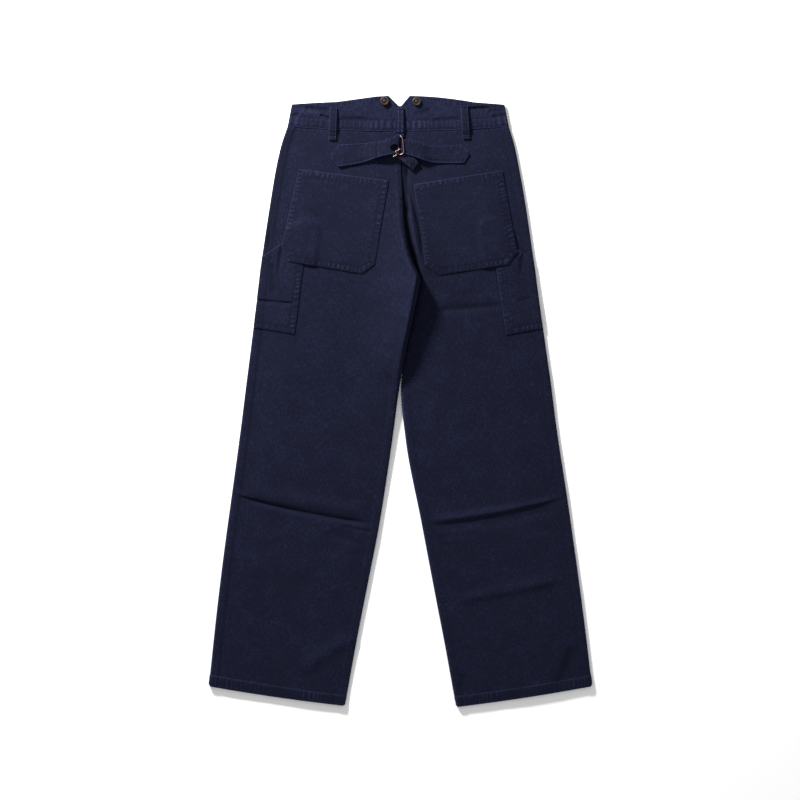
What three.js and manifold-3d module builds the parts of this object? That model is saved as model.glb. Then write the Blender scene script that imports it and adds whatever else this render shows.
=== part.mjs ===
// Work trousers lying flat with the back up: legs side by side, cinch fastened, pockets empty.
// Millimetres. X is to the right of someone who looks down at the back, Y is towards the waist,
// Z is up. The origin is on the surface that they lie on, under the middle of the garment.

import * as THREE from "three";
import { mergeVertices } from "three/addons/utils/BufferGeometryUtils.js";
import Module from "manifold-3d";

// Cloth and seams
const CLOTH = 1.3; // one layer of heavy cotton, with what its seams add
const BAND_CLOTH = 1.8; // waistband, two layers
const STRAP_CLOTH = 2.0; // cinch straps and belt loops, folded twice
const SEAM_GAP = 0.3; // between two pieces that are sewn edge to edge
const LAYER_GAP = 0.45; // under a piece that lies on another

// Side seams, where the front rolls up and the back rolls down to it
const SIDE_TURN = 3.0; // width of the roll
const SIDE_TOP = 4.8; // height of the back beside the roll
const FRONT_RIM = 2.25; // height at which the front ends
const BACK_RIM = FRONT_RIM + SEAM_GAP;
const SIDE_RISE = 70; // distance over which the back rises from the side to its crown
const FOLD_REACH = 95; // distance over which the inside edge's fold dies away
const FOLD_ENDS = 0.2; // share of a crosswise fold's length over which each end dies away

// Waistband
const BAND_TURN = 2.6;
const BAND_FRONT_RIM = 2.6;
const BAND_BACK_RIM = BAND_FRONT_RIM + SEAM_GAP;
const BAND_TOP = BAND_BACK_RIM + BAND_TURN;
const BAND_CROWN = 1.3; // how far the middle of each half stands above its ends
const BAND_CROWN_LOW = 0.45; // share of that rise which is left at the waist seam
const BAND_FULLNESS = 0.7; // power that rounds the rise off near the ends
const BAND_DEPTH = 38; // height of the front band
const FRONT_DIP = 14; // how much lower the front of the waist is at the centre
const WAIST_Y = 480; // about the height of the waist seam, where the search for a place starts
const WAIST_LAP = 3; // how far the waistband's height holds below its seam, under loops and straps

// Hem
const HEM_DEPTH = 18.5;
const HEM_RAISE = 0.5;

// Distance down at which the front's centre seam starts to turn up into the inside leg seams
const CENTRE_TURN_START = 222;

function table(columns, rows) {
  return rows.map((row) => Object.fromEntries(columns.map((name, i) => [name, row[i]])));
}

// Sections across each leg, from the side seam (outer) to the centre seam or the inside leg (inner).
// down: distance from the waist seam along the leg. bow: how far the section's middle sags to the hem.
// crown: height of the middle. At the inner edge the cloth comes down from the height edge to the
// height rim within the distance turn. roll is 1 for a rounded fold and 0 for a soft hollow.
const SECTION = [
  "down", "outerX", "outerY", "innerX", "innerY", "bow", "crown", "edge", "rim", "turn", "roll",
];
const LEFT_BODY = table(SECTION, [
  [0, -196.4, 479.2, -0.5, 471.5, 2.5, 5.2, 5.0, 4.2, 6, 0],
  [33, -207.2, 447.2, 0.9, 438.5, 0, 6.0, 6.0, 4.1, 6, 0.2],
  [80, -217.3, 401.9, 3.0, 389.8, 0, 7.4, 7.6, 3.9, 6, 0.8],
  [155, -229.5, 327.1, 7.1, 314.9, 0, 8.6, 13.0, 3.4, 7, 1],
  [204, -237.2, 276.7, 15.3, 267.1, 0, 9.0, 21.0, 3.1, 10, 1],
  [228, -240.5, 254.0, 23.6, 241.9, 0, 9.0, 28.0, 2.9, 12, 1],
  [253, -243.9, 231.4, 35.7, 215.8, 0, 8.8, 36.0, 2.55, 14, 1],
]);
const LEFT_LEG = table(SECTION, [
  [253, -243.9, 231.4, 35.7, 215.8, 0, 8.8, 36.0, 2.55, 14, 1],
  [267, -245.5, 217.5, 33.2, 201.8, 0, 8.5, 36.0, 2.55, 14, 1],
  [309, -249.9, 175.7, 24.7, 160.1, 0, 7.8, 32.0, 2.55, 12, 1],
  [381, -258.7, 106.1, 9.4, 88.7, 0, 7.0, 24.0, 2.55, 9, 1],
  [415, -263.0, 72.0, 3.4, 55.5, 0, 6.8, 18.0, 2.55, 7, 1],
  [448, -267.3, 38.3, -2.3, 22.6, 1, 6.6, 11.0, 2.55, 5, 1],
  [535, -277.7, -45.2, -14.3, -66.1, 3, 6.2, 6.8, 2.55, 3.5, 1],
  [667, -293.2, -160.1, -36.7, -212.3, 5, 6.2, 5.4, 2.55, 3, 1],
  [756, -305.4, -248.8, -53.4, -298.4, 4, 6.0, 5.2, 2.55, 3, 1],
  [871, -319.3, -361.9, -75.9, -413.2, 3, 5.8, 5.0, 2.55, 3, 1],
  [996, -333.2, -494.2, -96.6, -528.3, 2, 5.2, 4.8, 2.55, 3, 1],
]);
const RIGHT_BODY = table(SECTION, [
  [0, 188.4, 479.2, -0.2, 471.5, 2, 5.2, 5.0, 4.2, 6, 0],
  [33, 197.8, 447.2, 1.25, 438.5, 0, 6.0, 6.2, 4.1, 8, 0],
  [80, 207.1, 401.9, 3.35, 389.8, 0, 7.4, 8.0, 3.9, 12, 0],
  [156, 219.9, 327.1, 7.5, 314.9, 0, 8.4, 11.0, 3.4, 14, 0],
  [205, 227.2, 276.7, 15.7, 267.1, 0, 8.6, 13.0, 3.1, 14, 0],
  [230, 230.6, 254.0, 24.05, 241.9, 0, 8.4, 12.5, 2.95, 12, 0.3],
  [255, 234.0, 231.4, 36.2, 215.8, 0, 8.0, 10.5, 2.55, 8, 1],
]);
const RIGHT_LEG = table(SECTION, [
  [255, 234.0, 231.4, 36.2, 215.8, 0, 8.0, 10.5, 2.55, 8, 1],
  [270, 235.8, 217.5, 34.4, 201.8, 0, 7.8, 10.4, 2.55, 13, 1],
  [314, 241.7, 172.3, 25.8, 158.3, 0, 7.2, 9.6, 2.55, 11, 1],
  [382, 251.1, 106.1, 10.8, 88.7, 0, 6.8, 8.2, 2.55, 7, 1],
  [449, 260.8, 38.3, 0.9, 22.6, 1, 6.6, 7.2, 2.55, 4, 1],
  [536, 271.4, -45.2, 9.0, -66.1, 3, 6.2, 6.2, 2.55, 3.5, 1],
  [669, 289.7, -165.3, 36.2, -208.8, 4, 6.2, 5.4, 2.55, 3, 1],
  [811, 309.4, -304.5, 63.0, -349.7, 2, 6.0, 5.2, 2.55, 3, 1],
  [898, 321.0, -393.2, 79.2, -433.3, 2, 5.8, 5.0, 2.55, 3, 1],
  [999, 333.0, -494.2, 96.6, -530.4, 2, 5.2, 4.8, 2.55, 3, 1],
]);

// Folds that run across a leg. A share is a part of the way from the side to the inner edge.
// rise is the height of a ridge, or less than 0 for a trough, and width is half its breadth.
const FOLD = ["fromShare", "fromDown", "toShare", "toDown", "rise", "width"];
const LEFT_FOLDS = table(FOLD, [
  [0.02, 667, 0.98, 667, -3.0, 8],
  [0.05, 650, 0.95, 650, 1.4, 11],
  [0.66, 690, 0.88, 697, -0.9, 6],
]);
const RIGHT_FOLDS = table(FOLD, [
  [0.02, 669, 0.98, 669, 2.6, 9],
  [0.05, 684, 0.95, 685, -1.2, 10],
  [0.08, 806, 0.9, 812, 2.0, 12],
  [0.26, 311, 0.92, 316, -1.6, 7],
]);

// Distances down at which the back panels have a row of points: close together at the folds
const LEFT_ROWS = [
  0, 16, 33, 56, 80, 105, 130, 155, 180, 204, 220, 237, 253, 267, 288, 309, 332, 356, 381, 414, 448,
  490, 535, 580, 625, 641, 651, 659, 667, 675, 684, 697, 720, 756, 800, 850, 900, 945, 976.5, 978.5, 996,
];
const RIGHT_ROWS = [
  0, 16, 33, 56, 80, 105, 130, 156, 181, 205, 221, 239, 255, 270, 290, 305, 314, 323, 345, 382, 414,
  449, 490, 536, 585, 630, 652, 661, 669, 677, 687, 702, 740, 775, 795, 809, 823, 845, 880, 930,
  979.5, 981.5, 999,
];

// Columns of points across a panel: 0 to 1 is the roll at the side, 1 to 2 the flat, 2 to 3 the inner turn
const BACK_COLUMNS = [
  0, 0.35, 0.7, 1, 1.05, 1.14, 1.27, 1.4, 1.52, 1.62, 1.7, 1.77, 1.83, 1.89, 1.95, 2, 2.3, 2.6, 2.82, 3,
];
const FRONT_ROW_STEP = 60; // longest distance between two rows before one is put between them
const FRONT_COLUMNS = [0, 0.35, 0.7, 1, 1.35, 1.7, 2, 2.3, 2.65, 3];
const BAND_ROWS = [0, 0.25, 0.5, 0.75, 1];
const BAND_TURN_COLUMNS = [0, 0.35, 0.7, 1];
const FRONT_BAND_COLUMNS = [...BAND_TURN_COLUMNS, 1.2, 1.45, 1.75, 2];
const PLACE_TRIES = 25; // steps of the search for a point of the plan on a panel
const CURVE_STEP = 0.004; // how far apart two points of a curve are that give its direction

const LEFT = { body: LEFT_BODY, leg: LEFT_LEG, folds: LEFT_FOLDS };
const RIGHT = { body: RIGHT_BODY, leg: RIGHT_LEG, folds: RIGHT_FOLDS };

// Top edge of each half of the back waistband, from the side to the bottom of the notch
const EDGE = ["x", "y"];
const LEFT_BAND_EDGE = table(EDGE, [
  [-189.1, 517.5], [-152.2, 519.9], [-112.2, 521.7], [-87.9, 524.8], [-62.6, 528.3], [-42, 531.2],
  [-20.9, 532.3], [-0.5, 513],
]);
const RIGHT_BAND_EDGE = table(EDGE, [
  [180.8, 516.9], [152.2, 519.2], [127.9, 521], [108, 524.3], [89.6, 526.9], [65.2, 529.7],
  [40, 531.5], [18, 532.3], [-0.2, 513],
]);

// Patch pockets: for each share of the way from the side, a point of the top and of the bottom edge
const PATCH = ["share", "topX", "topY", "lowX", "lowY"];
const LEFT_BACK_POCKET = table(PATCH, [
  [0, -176.8, 404.4, -206.9, 268],
  [0.09, -162.7, 402.6, -193.5, 243.6],
  [0.87, -40.7, 387.1, -67, 222.4],
  [1, -20.4, 384.5, -44.9, 238],
]);
const RIGHT_BACK_POCKET = table(PATCH, [
  [0, 177.3, 402.3, 202.9, 260.1],
  [0.11, 160.3, 399.6, 186.4, 238],
  [0.87, 43.1, 381, 66.5, 220.3],
  [1, 23.1, 377.8, 43.2, 236.8],
]);
const LEFT_TOOL_POCKET = table(PATCH, [
  [0, -239.8, 253.5, -254.9, 128.8],
  [0.42, -209, 273.5, -226.4, 124.9],
  [1, -160.9, 298.5, -183.6, 117.1],
]);
const RIGHT_TOOL_POCKET = table(PATCH, [
  [0, 228.9, 247, 246.9, 127.8],
  [0.4, 200.6, 268, 222, 123.2],
  [1, 155.7, 300, 184.1, 115.9],
]);
const POCKET_COLUMNS = [0, 0.09, 0.24, 0.4, 0.54, 0.66, 0.77, 0.87, 0.94, 1];
const POCKET_ROWS = [0, 0.12, 0.24, 0.38, 0.52, 0.66, 0.8, 0.9, 1];
const TOOL_COLUMNS = [0, 0.04, 0.12, 0.27, 0.42, 0.6, 0.8, 1];
const TOOL_ROWS = [0, 0.12, 0.25, 0.4, 0.55, 0.7, 0.85, 1];
const TOOL_LIFT_REACH = 14; // how far round a tool pocket the back pocket on it is held up
const TOOL_LIFT_FADE = 14;

// Belt loops: middle of the top and of the bottom end
const LOOP_WIDTH = 12.5;
const LOOP_BULGE = 1.6; // how far a loop's middle stands off the cloth
const LOOP_FOOT = 2; // length of cloth under each point of a loop that it has to clear
const LOOP_ROWS = [0, 0.1, 0.22, 0.36, 0.5, 0.62, 0.72, 0.8, 0.9, 1];
const STRIP_COLUMNS = [0, 0.5, 1]; // points across a loop or a strap
const LOOPS = table(["name", "topX", "topY", "lowX", "lowY"], [
  ["belt_loop_left", -116.6, 511.9, -118.5, 455.4],
  ["belt_loop_centre", -0.7, 511.4, -0.7, 459.5],
  ["belt_loop_right", 110.3, 515, 113.8, 457.3],
]);

// Cinch straps: sections from the pointed sewn end to the buckle, then round it and back.
// top and low are the strap's two edges, as seen from above. Z is the height of its upper side
// where it is free. held is 1 where it lies on the panel instead.
const STRAP = ["topX", "topY", "topZ", "lowX", "lowY", "lowZ", "held"];
const STRAP_LEFT = table(STRAP, [
  [-122.5, 429, 9.0, -122.5, 425, 9.0, 1],
  [-108.1, 446.7, 9.0, -108.8, 409.2, 9.0, 1],
  [-92, 447.6, 9.2, -92, 411.6, 9.6, 1],
  [-74, 448.6, 9.6, -74, 414.6, 10.0, 0.9],
  [-58.3, 449.6, 10.4, -58.8, 418.5, 10.8, 0.5],
  [-44.4, 451, 12.0, -44.4, 423.4, 12.4, 0.1],
  [-31.7, 453, 14.0, -31.7, 427, 14.4, 0],
  [-20, 455.2, 15.6, -20, 429.4, 15.8, 0],
  [-9, 457, 16.2, -10, 431.6, 16.2, 0],
  [-3.6, 457.6, 15.8, -4.6, 432.9, 15.8, 0],
  [-0.7, 457.8, 13.2, -1.7, 433.3, 13.2, 0],
  [-1.4, 457.6, 10.0, -2.4, 433.2, 10.0, 0],
  [-5, 457.2, 8.3, -6, 432.2, 8.3, 0],
  [-12, 456.2, 7.9, -13, 431.2, 7.9, 0],
  [-24, 454, 7.8, -25, 428.8, 7.8, 0],
]);
const STRAP_RIGHT = table(STRAP, [
  [118.1, 433.3, 9.0, 118.1, 429.3, 9.0, 1],
  [107, 447.2, 9.0, 110, 415.5, 9.0, 1],
  [94, 445.8, 9.2, 94, 415.5, 9.6, 1],
  [79.7, 444.4, 9.6, 78.3, 415.5, 10.0, 0.9],
  [54.1, 443.9, 11.2, 57.1, 416.2, 11.6, 0.4],
  [43, 446.4, 12.6, 46, 418.4, 13.2, 0.1],
  [33.1, 450.4, 14.0, 36, 421.6, 14.6, 0],
  [19.5, 453.8, 15.0, 19.5, 427.5, 15.2, 0],
  [9, 455, 15.4, 8, 430.2, 15.4, 0],
  [4.2, 455, 14.8, 3, 430.6, 14.8, 0],
  [1.9, 454.6, 12.6, 0.7, 430.4, 12.6, 0],
  [3.4, 453.4, 10.4, 0.5, 429.6, 10.4, 0],
  [8, 449, 9.6, 1.4, 427.8, 9.6, 0],
  [15, 438.4, 9.2, 5, 422.6, 9.2, 0],
  [22.5, 426.6, 9.0, 12.4, 412.2, 9.0, 0.4],
  [30.8, 414.5, 9.2, 20.9, 401.4, 9.2, 1],
]);
const STRAP_STEPS = 2; // rows of points for each section
const STRAP_STEP = 0.05; // how far apart two places of a strap are that give its direction
const EYE = { x: -9, y: 443.6, length: 14.5, width: 9.5, lowZ: 12.9, highZ: 20, sides: 20 };

// Buckle of bent wire, and its prong
const WIRE = 1.7;
const WIRE_ARCS = 4; // straight sides of each quarter of the wire's section
const FRAME_STEPS = 40;
const PRONG_STEPS = 14;
const POINT = ["x", "y", "z"];
const BUCKLE_FRAME = table(POINT, [
  [-4.6, 459.6, 12.4], [-1.8, 461.6, 13.6], [1.2, 460.6, 15.4], [3.8, 455, 16.5], [4.6, 448, 16.8],
  [5, 440, 16.8], [5.5, 435.6, 16.6], [3.6, 432, 16.2], [-0.6, 430.4, 15], [-4.4, 430.6, 13],
  [-5.7, 434, 12], [-5.7, 441, 11.9], [-5.6, 450, 11.9], [-5.2, 457.4, 12.1],
]);
const BUCKLE_PRONG = table(POINT, [
  [-0.2, 439.5, 17.5], [-4.4, 437.8, 17.6], [-8, 435.9, 17.5], [-6.8, 432.9, 17.3], [-9.4, 430.2, 17.1],
  [-13.4, 428, 16.8],
]);

// Tack buttons for braces: radius and height of each step of the outline, from the cloth up
const TURNED = ["radius", "height"];
const BRACE_BUTTON = table(TURNED, [
  [0, 0], [4.3, 0], [4.3, 0.9], [7.1, 1.1], [7.75, 1.6], [7.75, 2.4], [7.1, 3.1], [6.2, 2.8],
  [4.6, 2.6], [2.6, 3.0], [0, 3.2],
]);
const BRACE_BUTTONS = table(["name", "x", "y"], [
  ["brace_button_left", -27.7, 524.3],
  ["brace_button_right", 28, 523.6],
]);
const BUTTON_SIDES = 16;

// Waist button, let into the front band so that the underside stays flat
const WAIST_BUTTON = { x: -14, y: 484, radius: 8.5, thickness: 1.5 };
const CUT_PAST = 1; // how far a cutter reaches past the cloth on each side
const SAME_POINT = 1e-4; // two corners of a mesh that are closer than this are one

// Colours of the dyed cloth and the metals
const NAVY = 0x23263b;
const NAVY_STRAP = 0x26293e;
const BRONZE = 0x5a4a40;
const COPPER = 0xb07a5e;

function mix(a, b, share) {
  return a + (b - a) * share;
}

function smooth(t) {
  const inside = THREE.MathUtils.clamp(t, 0, 1);
  return inside * inside * (3 - 2 * inside);
}

// Value of one column of a table at a place between its rows, on a curve that never overshoots them
function valueAt(rows, column, place, key) {
  const last = rows.length - 1;
  const next = rows.findIndex((row) => row[key] > place);
  const i = next < 0 ? last - 1 : Math.max(next - 1, 0);
  const span = (k) => rows[k + 1][key] - rows[k][key];
  const slope = (k) => (rows[k + 1][column] - rows[k][column]) / span(k);
  const tangent = (k) => {
    if (k === 0) return slope(0);
    if (k === last) return slope(last - 1);
    const product = slope(k - 1) * slope(k);
    return product <= 0 ? 0 : (2 * product) / (slope(k - 1) + slope(k));
  };
  const t = (place - rows[i][key]) / span(i);
  const bend = (1 - t) * (tangent(i) - slope(i)) - t * (tangent(i + 1) - slope(i));
  return mix(rows[i][column], rows[i + 1][column], t) + t * (1 - t) * span(i) * bend;
}

// The section across a leg at a distance down from the waist seam
function sectionAt(side, down) {
  const rows = down < side.leg[0].down ? side.body : side.leg;
  const section = { side, down };
  for (const column of SECTION.slice(1)) section[column] = valueAt(rows, column, down, "down");
  section.width = Math.hypot(section.innerX - section.outerX, section.innerY - section.outerY);
  section.across = new THREE.Vector3(
    (section.innerX - section.outerX) / section.width,
    (section.innerY - section.outerY) / section.width,
    0,
  );
  return section;
}

// Point of the plan at a distance from the side along a section
function planPoint(section, fromSide) {
  const share = fromSide / section.width;
  const sag = section.bow * 4 * share * (1 - share);
  return new THREE.Vector3(
    mix(section.outerX, section.innerX, share),
    mix(section.outerY, section.innerY, share) - sag,
    0,
  );
}

function foldRise(section, fromSide) {
  const share = fromSide / section.width;
  let rise = 0;
  for (const fold of section.side.folds) {
    const along = (share - fold.fromShare) / (fold.toShare - fold.fromShare);
    const away = (section.down - mix(fold.fromDown, fold.toDown, along)) / fold.width;
    const ends = smooth(along / FOLD_ENDS) * smooth((1 - along) / FOLD_ENDS);
    rise += fold.rise * ends * Math.exp(-away * away);
  }
  return rise;
}

// Height of the back's outer side between the two turned edges
function backHeight(section, fromSide) {
  const fromInner = section.width - fromSide;
  const base = mix(SIDE_TOP, section.crown, smooth((fromSide - SIDE_TURN) / SIDE_RISE));
  const fold = Math.max(1 - Math.max(fromInner - section.turn, 0) / FOLD_REACH, 0) ** 2;
  const hem = section.side.leg.at(-1).down - section.down < HEM_DEPTH ? HEM_RAISE : 0;
  return mix(base, section.edge, fold) + foldRise(section, fromSide) + hem;
}

// Point of the back's outer side. q runs from 0 at the side to 3 at the inner edge.
function backPoint(section, q) {
  if (q < 1) {
    const angle = (1 - q) * (Math.PI / 2);
    const point = planPoint(section, SIDE_TURN * (1 - Math.sin(angle)));
    point.z = mix(BACK_RIM, backHeight(section, SIDE_TURN), Math.cos(angle));
    return point;
  }
  if (q <= 2) {
    const fromSide = mix(SIDE_TURN, section.width - section.turn, q - 1);
    const point = planPoint(section, fromSide);
    point.z = backHeight(section, fromSide);
    return point;
  }
  const angle = (q - 2) * (Math.PI / 2);
  const rolledIn = 1 - Math.sin(angle);
  const fromInner = section.turn * mix(3 - q, rolledIn, section.roll);
  const point = planPoint(section, section.width - fromInner);
  const top = backHeight(section, section.width - section.turn);
  const height = mix(smooth(3 - q), Math.cos(angle), section.roll);
  point.z = mix(section.rim, top, height);
  return point;
}

// Share of its roll that the front's inner edge has: none at the centre seam, all from the crotch down
function frontRoll(section) {
  const crotch = section.side.leg[0].down;
  return smooth((section.down - CENTRE_TURN_START) / (crotch - CENTRE_TURN_START));
}

// Point of the front's outer side, which lies on the surface, and rolls up at both edges of a leg
function frontPoint(section, q) {
  if (q >= 1 && q <= 2) {
    return planPoint(section, mix(SIDE_TURN, section.width - SIDE_TURN, q - 1));
  }
  const atSide = q < 1;
  const angle = (atSide ? 1 - q : q - 2) * (Math.PI / 2);
  const roll = atSide ? 1 : frontRoll(section);
  const straight = atSide ? q : 3 - q;
  const fromEdge = SIDE_TURN * mix(straight, 1 - Math.sin(angle), roll);
  const point = planPoint(section, atSide ? fromEdge : section.width - fromEdge);
  point.z = FRONT_RIM * (1 - Math.cos(angle)) * roll;
  return point;
}

// Moves a point of a section's curve into the cloth, square to the curve. Below 0 it moves out.
function movedIn(curve, q, across, depth, limit) {
  const change = curve(Math.min(q + CURVE_STEP, limit)).sub(curve(Math.max(q - CURVE_STEP, 0)));
  const along = change.dot(across);
  const length = Math.hypot(along, change.z);
  const point = curve(q);
  point.addScaledVector(across, (depth * change.z) / length);
  point.z -= (depth * along) / length;
  return point;
}

function onBack(side, down, q, depth) {
  const section = sectionAt(side, down);
  return movedIn((place) => backPoint(section, place), q, section.across, depth, 3);
}

function onFront(side, down, q, depth) {
  const section = sectionAt(side, down);
  return movedIn((place) => frontPoint(section, place), q, section.across, -depth, 3);
}

// Where a point of the plan lies on the back: its distance down, and q across
function placeOnBack(side, x, y) {
  let down = WAIST_Y - y;
  let fromSide = 0;
  for (let i = 0; i < PLACE_TRIES; i += 1) {
    const section = sectionAt(side, down);
    const fromOuter = new THREE.Vector3(x - section.outerX, y - section.outerY, 0);
    fromSide = fromOuter.dot(section.across);
    down += planPoint(section, fromSide).y - y;
  }
  return { down, fromSide };
}

function columnAt(section, fromSide) {
  if (fromSide < SIDE_TURN) return 1 - Math.asin(1 - fromSide / SIDE_TURN) / (Math.PI / 2);
  return 1 + (fromSide - SIDE_TURN) / (section.width - section.turn - SIDE_TURN);
}

// A closed wall between two grids of points, joined round their borders, with its faces out
function wall(outer, inner) {
  const rows = outer.length;
  const columns = outer[0].length;
  const points = [...outer.flat(), ...inner.flat()];
  const top = (i, j) => i * columns + j;
  const under = (i, j) => rows * columns + top(i, j);
  const faces = [];
  const quad = (a, b, c, d) => faces.push(a, b, c, a, c, d);
  for (let i = 0; i < rows - 1; i += 1) {
    for (let j = 0; j < columns - 1; j += 1) {
      quad(top(i, j), top(i, j + 1), top(i + 1, j + 1), top(i + 1, j));
      quad(under(i, j), under(i + 1, j), under(i + 1, j + 1), under(i, j + 1));
    }
  }
  for (let j = 0; j < columns - 1; j += 1) {
    quad(top(0, j + 1), top(0, j), under(0, j), under(0, j + 1));
    quad(top(rows - 1, j), top(rows - 1, j + 1), under(rows - 1, j + 1), under(rows - 1, j));
  }
  for (let i = 0; i < rows - 1; i += 1) {
    quad(top(i, 0), top(i + 1, 0), under(i + 1, 0), under(i, 0));
    quad(top(i + 1, columns - 1), top(i, columns - 1), under(i, columns - 1), under(i + 1, columns - 1));
  }
  const geometry = new THREE.BufferGeometry().setFromPoints(points);
  geometry.setIndex(volumeOf(points, faces) < 0 ? faces.reverse() : faces);
  return geometry;
}

function volumeOf(points, faces) {
  let volume = 0;
  for (let i = 0; i < faces.length; i += 3) {
    const [a, b, c] = [points[faces[i]], points[faces[i + 1]], points[faces[i + 2]]];
    volume += a.dot(new THREE.Vector3().crossVectors(b, c)) / 6;
  }
  return volume;
}

function wallFrom(pointAt, rows, columns, thickness) {
  const grid = (depth) => rows.map((row) => columns.map((column) => pointAt(row, column, depth)));
  return wall(grid(0), grid(thickness));
}

const trousers = new THREE.Group();

function add(name, geometry, color, roughness = 0.9, metalness = 0) {
  const material = new THREE.MeshStandardMaterial({ color, roughness, metalness });
  const mesh = new THREE.Mesh(geometry, material);
  mesh.name = name;
  trousers.add(mesh);
}

// Leg panels
function backPanel(side, rows) {
  return wallFrom((down, q, depth) => onBack(side, down, q, depth), rows, BACK_COLUMNS, CLOTH);
}

// The front is cut like the back, but its waist is lower at the centre
function frontSide(side) {
  const body = side.body.map((row) => ({ ...row }));
  body[0].innerY -= FRONT_DIP;
  body[0].bow = 0;
  return { ...side, body };
}

function frontPanel(side) {
  const front = frontSide(side);
  const rows = [];
  const downs = [...side.body, ...side.leg.slice(1)].map((row) => row.down);
  downs.forEach((down, i) => {
    if (i > 0 && down - rows.at(-1) > FRONT_ROW_STEP) rows.push((rows.at(-1) + down) / 2);
    rows.push(down);
  });
  return wallFrom((down, q, depth) => onFront(front, down, q, depth), rows, FRONT_COLUMNS, CLOTH);
}

// Waistband halves. share runs from the side to the centre, fall from the top edge to the waist seam.
function bandEdges(edge, side) {
  const waist = sectionAt(side, 0);
  const first = edge[0];
  const last = edge.at(-1);
  return edge.map((point) => {
    const share = (point.x - first.x) / (last.x - first.x);
    const low = planPoint(waist, share * waist.width);
    return { share, topX: point.x, topY: point.y, lowX: low.x, lowY: low.y + SEAM_GAP };
  });
}

function bandPoint(edges, share, fall) {
  const at = (column) => valueStraight(edges, column, share);
  return new THREE.Vector3(
    mix(at("topX"), at("lowX"), fall),
    mix(at("topY"), at("lowY"), fall),
    0,
  );
}

// Value of a column on straight lines between the rows of a table that is ordered by share
function valueStraight(rows, column, share) {
  const next = rows.findIndex((row) => row.share >= share);
  if (next <= 0) return rows[next === 0 ? 0 : rows.length - 1][column];
  const before = rows[next - 1];
  const after = rows[next];
  return mix(before[column], after[column], (share - before.share) / (after.share - before.share));
}

function bandHeight(share, fall) {
  const crown = Math.sin(Math.PI * share) ** BAND_FULLNESS;
  return BAND_TOP + BAND_CROWN * crown * mix(1, BAND_CROWN_LOW, fall);
}

function backBand(edge, side) {
  const edges = bandEdges(edge, side);
  const columns = [...BAND_TURN_COLUMNS, ...edges.slice(1).map((row) => 1 + row.share)];
  const pointAt = (fall, q, depth) => {
    const end = bandPoint(edges, 1, fall);
    const start = bandPoint(edges, 0, fall);
    const width = end.distanceTo(start);
    const across = end.clone().sub(start).normalize();
    const turnShare = BAND_TURN / width;
    const curve = (place) => {
      if (place < 1) {
        const angle = (1 - place) * (Math.PI / 2);
        const point = bandPoint(edges, turnShare * (1 - Math.sin(angle)), fall);
        point.z = mix(BAND_BACK_RIM, bandHeight(0, fall), Math.cos(angle));
        return point;
      }
      const share = Math.max(place - 1, turnShare);
      const point = bandPoint(edges, share, fall);
      point.z = bandHeight(share - turnShare, fall);
      return point;
    };
    return movedIn(curve, q, across, depth, 2);
  };
  return wallFrom(pointAt, BAND_ROWS, columns, BAND_CLOTH);
}

function frontBand(edge, side) {
  const waist = sectionAt(frontSide(side), 0);
  const start = edge[0];
  const sideFoot = planPoint(waist, 0);
  const pointAt = (fall, q, depth) => {
    const low = planPoint(waist, 0);
    const lean = new THREE.Vector3(start.x - sideFoot.x, start.y - sideFoot.y - SEAM_GAP, 0);
    const lift = lean.multiplyScalar(1 - fall);
    const curve = (place) => {
      const angle = Math.max(1 - place, 0) * (Math.PI / 2);
      const rolled = BAND_TURN * (1 - Math.sin(angle));
      const fromSide = place < 1 ? rolled : mix(BAND_TURN, waist.width, place - 1);
      const share = fromSide / waist.width;
      const point = low.clone().addScaledVector(waist.across, fromSide);
      const height = mix(lift.y, BAND_DEPTH * (1 - fall), smooth(share));
      point.x += lift.x * (1 - share);
      point.y += height + SEAM_GAP;
      point.z = BAND_FRONT_RIM * (1 - Math.cos(angle));
      return point;
    };
    return movedIn(curve, q, waist.across, -depth, 2);
  };
  return wallFrom(pointAt, [0, 1], FRONT_BAND_COLUMNS, BAND_CLOTH);
}

// Patches that lie on the back panels
function distanceOutside(corners, x, y) {
  let nearest = Infinity;
  let inside = false;
  corners.forEach((a, i) => {
    const b = corners[(i + 1) % corners.length];
    const edge = new THREE.Vector2(b.x - a.x, b.y - a.y);
    const to = new THREE.Vector2(x - a.x, y - a.y);
    const share = THREE.MathUtils.clamp(to.dot(edge) / edge.lengthSq(), 0, 1);
    nearest = Math.min(nearest, to.sub(edge.multiplyScalar(share)).length());
    if (a.y > y !== b.y > y && x < ((b.x - a.x) * (y - a.y)) / (b.y - a.y) + a.x) inside = !inside;
  });
  return inside ? 0 : nearest;
}

function cornersOf(patchTable) {
  const tops = patchTable.map((row) => ({ x: row.topX, y: row.topY }));
  const lows = patchTable.map((row) => ({ x: row.lowX, y: row.lowY })).reverse();
  return [...tops, ...lows];
}

function patch(side, patchTable, rows, columns, liftAt) {
  const pointAt = (fall, share, depth) => {
    const at = (column) => valueStraight(patchTable, column, share);
    const x = mix(at("topX"), at("lowX"), fall);
    const y = mix(at("topY"), at("lowY"), fall);
    const place = placeOnBack(side, x, y);
    const q = columnAt(sectionAt(side, place.down), place.fromSide);
    return onBack(side, place.down, q, depth - CLOTH - LAYER_GAP - liftAt(x, y));
  };
  return wallFrom(pointAt, rows, columns, CLOTH);
}

function toolPocket(side, patchTable) {
  return patch(side, patchTable, TOOL_ROWS, TOOL_COLUMNS, () => 0);
}

function backPocket(side, patchTable, toolTable) {
  const tool = cornersOf(toolTable);
  const lift = (x, y) => {
    const away = (distanceOutside(tool, x, y) - TOOL_LIFT_REACH) / TOOL_LIFT_FADE;
    return (CLOTH + LAYER_GAP) * (1 - smooth(away));
  };
  return patch(side, patchTable, POCKET_ROWS, POCKET_COLUMNS, lift);
}

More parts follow.
